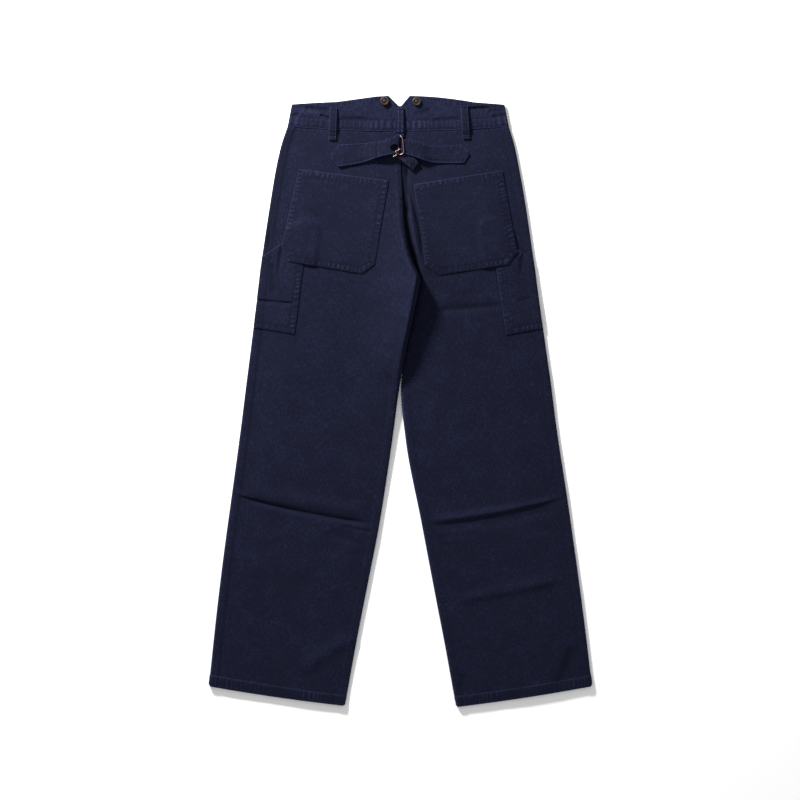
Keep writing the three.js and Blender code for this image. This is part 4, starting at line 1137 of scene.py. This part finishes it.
def front_band_place(side):
    """Gives the place function of a half of the front waistband, flat on the floor."""
    front = front_side(side)
    edges = side["band"]
    waist = section_at(front, np.array([0.0]))
    foot_x, foot_y = (value[0] for value in plan_point(waist, 0))
    lean_x, lean_y = edges["x"][0] - foot_x, edges["y"][0] - foot_y - SEAM_GAP

    def place(across, down_share):
        q = np.interp(across, (0, 0.1, 1), (0, 1, 2))
        angle = np.clip(1 - q, 0, 1) * QUARTER
        rolled = BAND_TURN * (1 - np.sin(angle))
        from_side = np.where(q < 1, rolled, mix(BAND_TURN, waist["width"], q - 1))
        share = from_side / waist["width"]
        rise = 1 - down_share
        height = mix(lean_y * rise, BAND_DEPTH * rise, smooth(share))
        x = foot_x + waist["across_x"] * from_side + lean_x * rise * (1 - share)
        y = foot_y + waist["across_y"] * from_side + height + SEAM_GAP
        z = BAND_FRONT_RIM * (1 - np.cos(angle))
        puckers = ladder(from_side, PUCKER_LENGTH, 3.1)
        wear = 0
        for row in FRONT_BAND_ROWS:
            away = np.abs(height + SEAM_GAP - row)
            beside = band_of(away, 0, 4, 2)
            z += TROUGH * bell(away, 1.8) + 0.35 * (1 - puckers) * beside
            wear += 0.3 * puckers * beside
        return np.stack([x, y, z], axis=-1), (from_side, -y), wear

    return place


def cut_oval(mesh, x, y, length, width, above=0.0):
    """Cuts an oval hole through the part of a sheet that lies higher than above."""
    bm = bmesh.new()
    bm.from_mesh(mesh)

    def out(co):
        return Vector((2 * (co.x / MM - x) / length, 2 * (co.y / MM - y) / width))

    gone = []
    for face in bm.faces:
        middle = face.calc_center_median()
        if out(middle).length < 1 and middle.z >= above * MM:
            gone.append(face)
    bmesh.ops.delete(bm, geom=gone, context="FACES")
    for vert in bm.verts:
        away = out(vert.co)
        if vert.is_boundary and vert.co.z >= above * MM and away.length < 1.4:
            rim = away.normalized()
            vert.co.x = (x + rim.x * length / 2) * MM
            vert.co.y = (y + rim.y * width / 2) * MM
    bm.to_mesh(mesh)
    bm.free()


def cut_button_hole(mesh):
    """The waist button is let into the front waistband."""
    across = 2 * (WAIST_BUTTON["radius"] + SEAM_GAP)
    cut_oval(mesh, WAIST_BUTTON["x"], WAIST_BUTTON["y"], across, across)


def cut_eye(mesh):
    """The eye of the left strap, where the prong comes through."""
    cut_oval(mesh, EYE["x"], EYE["y"], EYE["length"], EYE["width"], EYE["above"])


class TROUSERS_OT_waistband(bpy.types.Operator):
    """Makes the four waistband pieces, with the notch and peaks at the back"""

    bl_idname = "trousers.waistband"
    bl_label = "Waistband"

    def execute(self, context):
        for name, side in SIDES.items():
            cloth_piece(
                f"waistband_back_{name}", BACK_BAND_GRID, back_band_place(side),
                edge=BAND_RIM * MM)
            cloth_piece(
                f"waistband_front_{name}", FRONT_BAND_GRID, front_band_place(side),
                up=-1, thickness=FRONT_BAND_CLOTH * MM, edge=BAND_RIM * MM,
                opening=cut_button_hole if name == "left" else None)
        return {"FINISHED"}


# Pockets

BACK_POCKET_GRID = (96, 104)
TOOL_POCKET_GRID = (60, 96)
EDGE_STOPS = ((0, 0.04, 0.96, 1), (0, 0.012, 0.988, 1))


def over_patch(patch, x, y):
    """Height by which a tool pocket holds up the back pocket that overlaps it."""
    corners = patch_lines(patch)[2]
    closed = np.concatenate([corners, corners[:1]])
    away = np.where(inside_outline(corners, x, y), 0, border(closed, x, y)[0])
    return (CLOTH + LAYER_GAP) * (1 - smooth((away - TOOL_LIFT_REACH) / TOOL_LIFT_FADE))


def patch_place(side, patch, seed, under=None):
    """Gives the place function of a pocket on a back panel, and on the patch under it if there is one."""
    top, sides, _ = patch_lines(patch)

    def place(across, down_share):
        x, y = between_edges(patch, np.interp(across, *EDGE_STOPS), np.interp(down_share, *EDGE_STOPS))
        section, from_side = place_on_back(side, x, y)
        away, along = border(sides, x, y)
        from_top, along_top = border(top, x, y)
        edge = np.minimum(away, from_top)
        from_edge = {"sides": away, "top": from_top, "edge": edge}
        rung = np.maximum(
            two_lobes(away, along, POCKET_ROWS[1] - 0.6, POCKET_PUCKER, 0.4 + seed),
            two_lobes(from_top, along_top, POCKET_TOP_ROW - 4.5, POCKET_TOP_ROW + 3.5, 2.2 + seed))
        height, wear = ground(section, from_side, x, y)
        height += 1.2 + 0.55 * smooth((edge - 2) / 16) + 1.6 * sizes().pucker / MM * rung
        height += lines(POCKET_RELIEF, from_edge) - 0.75 * rounding(edge, 1.1)
        if under:
            height += over_patch(under, x, y)
        # Pale rubbed edges and pucker crests; painted shade along the top row of stitches and between the
        # puckers
        wear += lines(POCKET_WEAR_AND_SHADE, from_edge) + 0.5 * (rung - 0.3) * band_of(edge, 1.4, POCKET_PUCKER, 3)
        return moved_out(back_curve, section, column_at(section, from_side), height), (x, -y), wear

    return place


class TROUSERS_OT_pockets(bpy.types.Operator):
    """Makes the tool pockets that are caught in the side seams, and the seat's patch pockets over them"""

    bl_idname = "trousers.pockets"
    bl_label = "Pockets"

    def execute(self, context):
        for seed, (name, side) in enumerate(SIDES.items()):
            place = patch_place(side, side["patches"][1], 2.6 + seed)
            cloth_piece(f"tool_pocket_{name}", TOOL_POCKET_GRID, place)
        for seed, (name, side) in enumerate(SIDES.items()):
            place = patch_place(side, side["patches"][0], seed, side["patches"][1])
            cloth_piece(
                f"back_pocket_{name}", BACK_POCKET_GRID, place)
        return {"FINISHED"}


# Belt loops and cinch

LOOP_GRID = (12, 60)
LOOP_CLOTH = 1.5
LOOP_RIM = 0.45
STRAP_GRID = (26, 150)
STRAP_WALL = 1.7
STRAP_RIM = 0.5
STRAP_STEP = 0.05


def cloth_top(x, y):
    """Height of the waistband or the panel under points of the plan, as the solids have it."""
    height = np.zeros_like(x)
    for side, here in ((LEFT, x < 0), (RIGHT, x >= 0)):
        edges = band_edges(side)
        share = (x - edges["low_x"][0]) / (edges["low_x"][-1] - edges["low_x"][0])
        waist_y = between_edges(edges, share, 1)[1]
        band = band_height(share, (edges["top_y"][0] - y) / (edges["top_y"][0] - waist_y))
        section, from_side = place_on_back(side, x, y)
        own = np.where(y > waist_y - WAIST_LAP, band, back_height(section, from_side))
        height = np.where(here, own, height)
    return height


def loop_place(loop, seed):
    """Gives the place function of a belt loop, whose middle stands off the cloth."""
    top_x, top_y, low_x, low_y, rubbed = loop

    def place(across, down_share):
        x = mix(top_x, low_x, down_share) + (across - 0.5) * LOOP_WIDTH
        y = mix(top_y, low_y, down_share)
        base = np.max([cloth_top(x, y + foot) for foot in (-LOOP_FOOT, 0, LOOP_FOOT)], axis=0)
        bulge = LOOP_BULGE * np.sin(math.pi * down_share)
        length = top_y - low_y
        from_top = length * down_share
        from_low = length - from_top
        edge = np.minimum(across, 1 - across) * LOOP_WIDTH
        from_edge = {"edge": edge, "foot": from_low, "top": from_top}
        rung = ladder(from_top, 6.5, seed)
        lift = 0.35 * (rung - 0.4) * band_of(edge, 0.6, 3.2, 1.5) + lines(LOOP_RELIEF, from_edge)
        lift += 0.35 * band_of(from_low, -1, 6, 2)
        z = base + LAYER_GAP + bulge + STRAP_CLOTH + lift - 0.3
        # A pale line inside each side, rubbed and partly a painted highlight; pucker crests rubbed pale with
        # painted shade between them, and painted shade in the fold near the foot
        wear = 0.7 * bell(edge - rubbed, 0.8) + 0.45 * (rung - 0.35) * band_of(edge, 0.4, 4, 1.5)
        wear += lines(LOOP_WEAR_AND_SHADE, from_edge)
        return np.stack([x, y, z], axis=-1), (across * LOOP_WIDTH, -y), wear

    return place


class TROUSERS_OT_belt_loops(bpy.types.Operator):
    """Makes the three belt loops of the back"""

    bl_idname = "trousers.belt_loops"
    bl_label = "Belt loops"

    def execute(self, context):
        for seed, (name, loop) in enumerate(LOOPS.items()):
            cloth_piece(
                f"belt_loop_{name}", LOOP_GRID, loop_place(loop, 1.1 + seed),
                thickness=LOOP_CLOTH * MM, edge=LOOP_RIM * MM)
        return {"FINISHED"}


def strap_edges(strap):
    """The strap's table with its heights where it lies on the panel."""
    rows = {name: column.copy() for name, column in strap.items()}
    rows["at"] = np.arange(len(strap["held"]), dtype=float)
    layer = np.where(rows["at"] < STRAP_TURN, STRAP_CLOTH, STRAP_UNDER)
    for end in ("top", "low"):
        held = cloth_top(rows[f"{end}_x"], rows[f"{end}_y"]) + LAYER_GAP + layer
        rows[f"{end}_z"] = mix(rows[f"{end}_z"], held, rows["held"])
    return rows


def strap_spot(rows, at, share):
    """A point of the strap's upper side."""
    ends = []
    for end in ("top", "low"):
        curved = [value_at(rows, f"{end}_{axis}", at, "at") for axis in "xyz"]
        straight = [np.interp(at, rows["at"], rows[f"{end}_{axis}"]) for axis in "xyz"]
        ends.append(np.where(at < 1, straight, curved).T)
    return mix(ends[0], ends[1], np.reshape(share, (-1, 1)))


def strap_place(strap, sewn_to, seed):
    """Gives the place function of a strap, which is sewn down as far as the section sewn_to."""
    rows = strap_edges(strap)
    last = rows["at"][-1]

    def place(across, down_share):
        at = down_share * last
        point = strap_spot(rows, at, across)
        along = strap_spot(rows, np.minimum(at + STRAP_STEP, last), across)
        along = along - strap_spot(rows, np.maximum(at - STRAP_STEP, 0), across)
        over = strap_spot(rows, at, np.ones_like(at)) - strap_spot(rows, at, np.zeros_like(at))
        width = np.linalg.norm(over, axis=1)
        normal = np.cross(along, over)
        normal /= np.linalg.norm(normal, axis=1)[:, None]
        normal *= -1 if strap["top_x"][1] < 0 else 1
        edge = np.minimum(across, 1 - across) * width
        run = np.abs(point[:, 0] - strap["top_x"][0])
        rung = ladder(run, 7.5, seed)
        from_edge = {"edge": edge, "seam": at - sewn_to}
        lift = 0.5 * (rung - 0.4) * band_of(edge, 1.0, 6.5, 2) + lines(STRAP_RELIEF, from_edge)
        lift += 0.45 * soft_noise(run, across * width, 16, seed)
        # Pale rubbed edges and pucker crests; painted shade between the puckers and along the row sewn across
        # the strap
        wear = 0.5 * (rung - 0.35) * band_of(edge, 0.8, 6, 2) + lines(STRAP_WEAR_AND_SHADE, from_edge)
        return point + normal * (lift * smooth(at / 0.4))[:, None], (run, across * width), wear

    return place


class TROUSERS_OT_cinch_straps(bpy.types.Operator):
    """Makes the two straps of the cinch, with the left one's eye"""

    bl_idname = "trousers.cinch_straps"
    bl_label = "Cinch straps"

    def execute(self, context):
        for name, (strap, sewn_to) in STRAPS.items():
            place = strap_place(strap, sewn_to, 1.7 + sewn_to)
            cloth_piece(
                f"cinch_strap_{name}", STRAP_GRID, place,
                thickness=STRAP_WALL * MM, edge=STRAP_RIM * MM,
                opening=cut_eye if name == "left" else None)
        return {"FINISHED"}


# Metal

WIRE_SIDES = 14
WIRE_STEPS = 6
TURNED_SIDES = 40


def tube(points, radius):
    """A round wire through a table of points, with closed round ends."""
    knots = np.stack([points[axis] for axis in POINT], axis=1)
    ends = np.concatenate([2 * knots[:1] - knots[1:2], knots, 2 * knots[-1:] - knots[-2:-1]])
    places = []
    for i in range(1, len(ends) - 2):
        p0, p1, p2, p3 = ends[i - 1:i + 3]
        for t in np.arange(WIRE_STEPS) / WIRE_STEPS:
            places.append(0.5 * (2 * p1 + (p2 - p0) * t + (2 * p0 - 5 * p1 + 4 * p2 - p3) * t * t
                                 + (3 * p1 - p0 - 3 * p2 + p3) * t ** 3))
    places.append(knots[-1])
    places = np.array(places)
    tangents = np.gradient(places, axis=0)
    bm = bmesh.new()
    ring, up = None, Vector((0, 0, 1))
    count = len(places)
    for i, (place, tangent) in enumerate(zip(places, tangents)):
        along = Vector(tangent).normalized()
        side = along.cross(up).normalized()
        up = side.cross(along).normalized()
        turn = Matrix((side, up, along)).transposed().to_4x4()
        new = bmesh.ops.create_circle(bm, segments=WIRE_SIDES, radius=radius)["verts"]
        if i in (0, count - 1):
            bmesh.ops.scale(bm, vec=(0.6, 0.6, 0.6), verts=new)
        bmesh.ops.transform(bm, matrix=Matrix.Translation(place) @ turn, verts=new)
        edges = list(dict.fromkeys(edge for vert in new for edge in vert.link_edges))
        if ring:
            bmesh.ops.bridge_loops(bm, edges=ring + edges)
        ring = edges
    bmesh.ops.holes_fill(bm, edges=[edge for edge in bm.edges if edge.is_boundary], sides=WIRE_SIDES)
    bmesh.ops.scale(bm, vec=(MM, MM, MM), verts=bm.verts)
    bmesh.ops.recalc_face_normals(bm, faces=bm.faces)
    return bm


def turned_shape(outline, sides):
    """A closed shape turned about Z from rows of radius and height, which start and end on the axis."""
    bm = bmesh.new()
    rings = []
    for i, (radius, height) in enumerate(outline):
        count = sides if 0 < i < len(outline) - 1 else 1
        angles = [2 * math.pi * j / sides for j in range(count)]
        ring = [bm.verts.new((radius * math.cos(a), radius * math.sin(a), height)) for a in angles]
        rings.append(ring * (sides // count))
    for high, low in zip(rings[:-1], rings[1:]):
        for j in range(sides):
            bm.faces.new(list(dict.fromkeys((high[j - 1], low[j - 1], low[j], high[j]))))
    bmesh.ops.recalc_face_normals(bm, faces=bm.faces)
    return bm


def mesh_from(bm, name):
    mesh = bpy.data.meshes.new(name)
    bm.to_mesh(mesh)
    bm.free()
    return mesh


class TROUSERS_OT_buckle(bpy.types.Operator):
    """Makes the cinch's wire buckle and its prong"""

    bl_idname = "trousers.buckle"
    bl_label = "Buckle"

    def execute(self, context):
        for node, points in (("buckle_frame", BUCKLE_FRAME), ("buckle_prong", BUCKLE_PRONG)):
            mesh = mesh_from(tube(points, WIRE / 2), f"{node}_wire")
            new_piece(mesh.name, mesh, drawn_copper_wire, node)
        return {"FINISHED"}


# Outline of a tack button from its middle to the cloth: radius, height and how much it is rubbed
BUTTON_OUTLINE = (
    (0.0, 3.2, 0.3), (1.4, 3.15, 0.2), (2.3, 2.95, 0.0), (2.8, 2.65, -0.3), (3.4, 2.6, -0.3),
    (4.2, 2.65, -0.1), (5.0, 2.75, 0.0), (5.6, 2.95, 0.2), (6.2, 3.1, 0.4), (6.7, 3.0, 0.35),
    (7.1, 2.6, 0.1), (7.3, 2.0, -0.1), (7.1, 1.5, -0.3), (6.6, 1.15, -0.5), (5.4, 1.0, -0.6),
    (4.5, 0.95, -0.6), (4.3, 0.6, -0.6), (4.3, 0.0, -0.6), (0.0, 0.0, -0.6),
)
WAIST_OUTLINE = (
    (0.0, 0.5, -0.3), (4.0, 0.5, -0.3), (5.4, 0.4, 0.0), (6.2, 0.1, 0.7), (7.4, 0.0, 0.9),
    (8.2, 0.2, 0.8), (8.5, 0.6, 0.2), (8.5, 1.5, -0.4), (0.0, 1.5, -0.5),
)


def button(node, outline, x, y, z):
    """A button turned from its outline in the place of a node, with the wear of each ring."""
    bm = turned_shape([row[:2] for row in outline], TURNED_SIDES)
    worn = bm.verts.layers.float.new("wear")
    rings = np.repeat([row[2] for row in outline], [1, *[TURNED_SIDES] * (len(outline) - 2), 1])
    for vert, wear in zip(bm.verts, rings):
        vert[worn] = wear
    bmesh.ops.translate(bm, vec=(x, y, z), verts=bm.verts)
    bmesh.ops.scale(bm, vec=(MM, MM, MM), verts=bm.verts)
    mesh = mesh_from(bm, f"{node}_metal")
    new_piece(mesh.name, mesh, tumbled_bronze, node)


class TROUSERS_OT_buttons(bpy.types.Operator):
    """Makes the two tack buttons for braces and the button of the front waist"""

    bl_idname = "trousers.buttons"
    bl_label = "Buttons"

    def execute(self, context):
        for name, (x, y) in BUTTONS.items():
            node = f"brace_button_{name}"
            button(node, BUTTON_OUTLINE, x, y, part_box(node)[0][2] / MM)
        button("waist_button", WAIST_OUTLINE, WAIST_BUTTON["x"], WAIST_BUTTON["y"], 0)
        return {"FINISHED"}


# Stitches


def stitch_shape():
    """One stitch along X, with a length and thickness of 1: a few-sided capsule."""
    bends = np.linspace(0, math.pi, 5)
    bm = turned_shape([(math.sin(bend) / 2, math.cos(bend) / 2) for bend in bends], 6)
    bmesh.ops.rotate(bm, matrix=Matrix(((0, 0, 1), (1, 0, 0), (0, 1, 0))), verts=bm.verts)
    return mesh_from(bm, "stitch")


def resampled(line, pitch):
    """Points a stitch apart along a line in the plan."""
    steps = np.hypot(*np.diff(line, axis=0).T)
    along = np.concatenate([[0], np.cumsum(steps)])
    places = np.linspace(0, along[-1], max(int(along[-1] / pitch), 1) + 1)
    return np.stack([np.interp(places, along, line[:, i]) for i in (0, 1)], axis=1)


def on_skin(skin, x, y, up):
    """Place and normal where a ray from above, or from below for up of -1, meets a piece, if it does."""
    place, normal, _, _ = skin.ray_cast(Vector((x * MM, y * MM, 0.1 * up)), Vector((0, 0, -up)))
    return place is not None and (place, normal)


STITCH_SHARE = 0.78  # of the pitch, for which the thread shows
STITCH_SINK = 0.12  # share of its thickness by which a stitch sits off the cloth
TROUGH_SINK = -0.15  # the same on the underside, where it sinks in


def sew(name, rows, piece, up=1):
    """Lays a row of stitches along each line, on top of a piece, as one joined piece."""
    thread = sizes().thread
    sink = STITCH_SINK if up > 0 else TROUGH_SINK
    skin = SKINS[f"{piece}_cloth"]
    places = []
    for row in rows:
        points = resampled(np.asarray(row, float), sizes().stitch / MM)
        for a, b in zip(points[:-1], points[1:]):
            middle, reach = (a + b) / 2, (b - a) * STITCH_SHARE / 2
            hit = on_skin(skin, *middle, up)
            ends = [on_skin(skin, *(middle + side * reach), up) for side in (-1, 1)]
            if hit and all(ends):
                along = ends[1][0] - ends[0][0]
                normal = hit[1] if hit[1].z * up > 0 else -hit[1]
                across = normal.cross(along).normalized()
                square = along.normalized().cross(across)
                turn = Matrix((along, across * thread, square * thread * 0.8)).transposed().to_4x4()
                places.append(Matrix.Translation(hit[0] + square * thread * sink) @ turn)
    if not places:
        raise RuntimeError(f"{name} has no stitch on its cloth")
    shape = stitch_shape()
    joined = bmesh.new()
    for _ in places:
        joined.from_mesh(shape)
    mesh = mesh_from(joined, name)
    unit = np.array([vert.co for vert in shape.vertices])
    unit = np.concatenate([unit, np.ones((len(unit), 1))], axis=1)
    placed = np.einsum("nij,vj->nvi", np.array(places)[:, :3], unit)
    mesh.vertices.foreach_set("co", placed.ravel())
    mesh.update()
    new_piece(name, mesh, spun_thread)


def panel_line(side, downs, from_inner):
    """A line on a leg at a distance from its inner edge."""
    section = section_at(side, np.asarray(downs, float))
    return np.stack(plan_point(section, section["width"] - from_inner), axis=1)


def hem_line(side, from_hem, start=4.0):
    """A line across a leg at a distance from its hem."""
    section = section_at(side, np.full(30, side["leg"]["down"][-1] - from_hem))
    places = np.linspace(start, section["width"][0] - start, 30)
    return np.stack(plan_point(section, places), axis=1)


def band_line(side, over_seam=None, from_top=None):
    """A line along a half of the back waistband, at a height over its seam or under its top edge."""
    edges = band_edges(side)
    share = np.unique(np.concatenate([np.linspace(0.02, 0.985, 60), edges["share"][1:-1]]))
    if from_top is not None:
        x, y = between_edges(edges, share, 0)
        return np.stack([x, y - from_top * np.where(share > 0.97, 1.4, 1)], axis=1)
    x, y = between_edges(edges, share, 1)
    return np.stack([x, y + over_seam], axis=1)


def pocket_rows(patch, hand):
    """The rows of stitches of a pocket: two round its sides and one under its top."""
    top, sides, _ = patch_lines(patch)
    rows = [offset_line(sides, -hand * inset) for inset in POCKET_ROWS]
    hem = offset_line(top, -hand * POCKET_TOP_ROW)
    shorter = np.array([mix(hem[0], hem[-1], 0.015), mix(hem[0], hem[-1], 0.985)])
    return [*rows, np.concatenate([shorter[:1], hem[1:-1], shorter[1:]])]


class TROUSERS_OT_stitching(bpy.types.Operator):
    """Sews every seam, hem, pocket, loop and strap with its rows of stitches"""

    bl_idname = "trousers.stitching"
    bl_label = "Stitching"

    def execute(self, context):
        for name, side in SIDES.items():
            for kind, patch in zip(("back", "tool"), side["patches"]):
                pocket = f"{kind}_pocket_{name}"
                sew(f"stitches_{pocket}", pocket_rows(patch, 1 if name == "left" else -1), pocket)
            rows = [band_line(side, over_seam=height) for height in (SEAM_ROW, BAND_LOW_ROW)]
            rows.append(band_line(side, from_top=TOP_ROW))
            sew(f"stitches_waistband_{name}", rows, f"waistband_back_{name}")
            sew(f"stitches_hem_{name}", [hem_line(side, HEM_ROW)], f"back_{name}")
            sew(f"stitches_front_hem_{name}", [hem_line(side, HEM_ROW)], f"front_{name}", up=-1)
        downs = np.linspace(4, CROTCH_DOWN - 6, 60)
        sew("stitches_centre_seam", [panel_line(LEFT, downs, inset) for inset in FELL_ROWS], "back_left")
        self.sew_loops()
        self.sew_straps()
        self.sew_front()
        return {"FINISHED"}

    def sew_loops(self):
        """Rows down both sides of each belt loop and across its ends."""
        for name, (top_x, top_y, low_x, low_y, _) in LOOPS.items():
            high, low = top_y - LOOP_ROW_START, low_y + LOOP_ROW_START
            rows = [[(top_x + off, high), (low_x + off, low)] for off in LOOP_ROWS]
            for share in LOOP_BARS:
                x, y = mix(top_x, low_x, share), mix(top_y, low_y, share)
                rows.append([(x - LOOP_BAR_REACH, y), (x + LOOP_BAR_REACH, y)])
            sew(f"stitches_belt_loop_{name}", rows, f"belt_loop_{name}")

    def sew_straps(self):
        """Rows along both edges of each strap, round its pointed end and across it."""
        for name, (strap, sewn_to) in STRAPS.items():
            table_rows = strap_edges(strap)
            rows = []
            for inset in STRAP_ROWS:
                ats = np.linspace(0.35 + inset * 0.05, STRAP_TURN, 70)
                top_y, low_y = (value_at(table_rows, column, ats, "at") for column in ("top_y", "low_y"))
                share = np.clip(inset / np.maximum(np.abs(top_y - low_y), 1), 0, 0.48)
                upper = strap_spot(table_rows, ats, share)[:, :2]
                lower = strap_spot(table_rows, ats, 1 - share)[:, :2]
                rows.append(np.concatenate([upper[::-1], lower]))
            rows.append(strap_spot(table_rows, np.full(2, sewn_to), np.array([0.08, 0.92]))[:, :2])
            sew(f"stitches_cinch_strap_{name}", rows, f"cinch_strap_{name}")

    def sew_front(self):
        """Rows of the underside: the fly and the front waistband."""
        sew("stitches_fly", FLY_ROWS, "front_left", up=-1)
        for name, side in SIDES.items():
            waist = section_at(front_side(side), np.array([0.0]))
            low = np.stack(plan_point(waist, np.linspace(6, waist["width"][0] - 4, 40)), axis=1)
            rows = [low + (0, height) for height in FRONT_BAND_ROWS]
            sew(f"stitches_front_band_{name}", rows, f"waistband_front_{name}", up=-1)


# Stage

CAMERA_HEIGHT = 4.0
VIEW_WIDTH = 1.392  # metres of floor that the picture spans
VIEW_CENTRE = (-0.00087, 0.00348)
SENSOR = 36
KEY_PLACE = (-1.18, 1.91, 0.8)
KEY_SIZE = 0.3
KEY_POWER = 183
FLOOR_REACH = 6
FLOOR_DROP = 0.1  # millimetres between the trousers and the floor, so that the two don't flicker
FILL = 0.6


class TROUSERS_OT_stage(bpy.types.Operator):
    """Makes the plain floor, the studio light and the camera over the trousers"""

    bl_idname = "trousers.stage"
    bl_label = "Stage"

    def execute(self, context):
        bm = bmesh.new()
        bmesh.ops.create_grid(bm, x_segments=2, y_segments=2, size=FLOOR_REACH)
        bmesh.ops.translate(bm, vec=(0, 0, -FLOOR_DROP * MM), verts=bm.verts)
        floor = linked("floor", mesh_from(bm, "floor"))
        floor.data.materials.append(material_of(white_paper))

        key = bpy.data.lights.new("key", "AREA")
        key.shape = "DISK"
        key.size = KEY_SIZE
        key.energy = KEY_POWER
        lamp = linked("key", key)
        lamp.location = KEY_PLACE
        lamp.rotation_euler = (-Vector(KEY_PLACE)).to_track_quat("-Z", "Y").to_euler()

        world = bpy.data.worlds.new("studio")
        world.use_nodes = True
        light = world.node_tree.nodes["Background"].inputs
        light["Color"].default_value = (1, 1, 1, 1)
        light["Strength"].default_value = FILL

        lens = bpy.data.cameras.new("overhead")
        lens.sensor_width = SENSOR
        lens.lens = SENSOR * CAMERA_HEIGHT / VIEW_WIDTH
        camera = linked("overhead", lens)
        camera.location = (*VIEW_CENTRE, CAMERA_HEIGHT)
        scene = context.scene
        scene.world, scene.camera = world, camera
        scene.view_settings.view_transform = "Standard"
        return {"FINISHED"}


OPERATORS = (
    TROUSERS_OT_leg_panels,
    TROUSERS_OT_waistband,
    TROUSERS_OT_pockets,
    TROUSERS_OT_belt_loops,
    TROUSERS_OT_cinch_straps,
    TROUSERS_OT_buckle,
    TROUSERS_OT_buttons,
    TROUSERS_OT_stitching,
    TROUSERS_OT_stage,
)


class VIEW3D_PT_trousers(bpy.types.Panel):
    """Sizes, colours and the steps in the order in which they are made"""

    bl_label = "Work trousers"
    bl_idname = "VIEW3D_PT_trousers"
    bl_space_type = "VIEW_3D"
    bl_region_type = "UI"
    bl_category = "Trousers"

    def draw(self, context):
        for group in (context.scene.trousers_sizes, context.scene.trousers_colours):
            box = self.layout.box()
            for name in group.bl_rna.properties.keys():
                if name not in {"rna_type", "name"}:
                    box.prop(group, name)
        for operator in OPERATORS:
            self.layout.operator(operator.bl_idname)


CLASSES = (TrousersSizes, TrousersColours, *OPERATORS, VIEW3D_PT_trousers)


def register():
    for cls in CLASSES:
        bpy.utils.register_class(cls)
    bpy.types.Scene.trousers_sizes = bpy.props.PointerProperty(type=TrousersSizes)
    bpy.types.Scene.trousers_colours = bpy.props.PointerProperty(type=TrousersColours)


def unregister():
    del bpy.types.Scene.trousers_colours
    del bpy.types.Scene.trousers_sizes
    for cls in reversed(CLASSES):
        bpy.utils.unregister_class(cls)


def main():
    """Makes every piece and the stage."""
    register()
    bpy.ops.trousers.leg_panels()
    bpy.ops.trousers.waistband()
    bpy.ops.trousers.pockets()
    bpy.ops.trousers.belt_loops()
    bpy.ops.trousers.cinch_straps()
    bpy.ops.trousers.buckle()
    bpy.ops.trousers.buttons()
    bpy.ops.trousers.stitching()
    bpy.ops.trousers.stage()


if __name__ == "__main__":
    main()
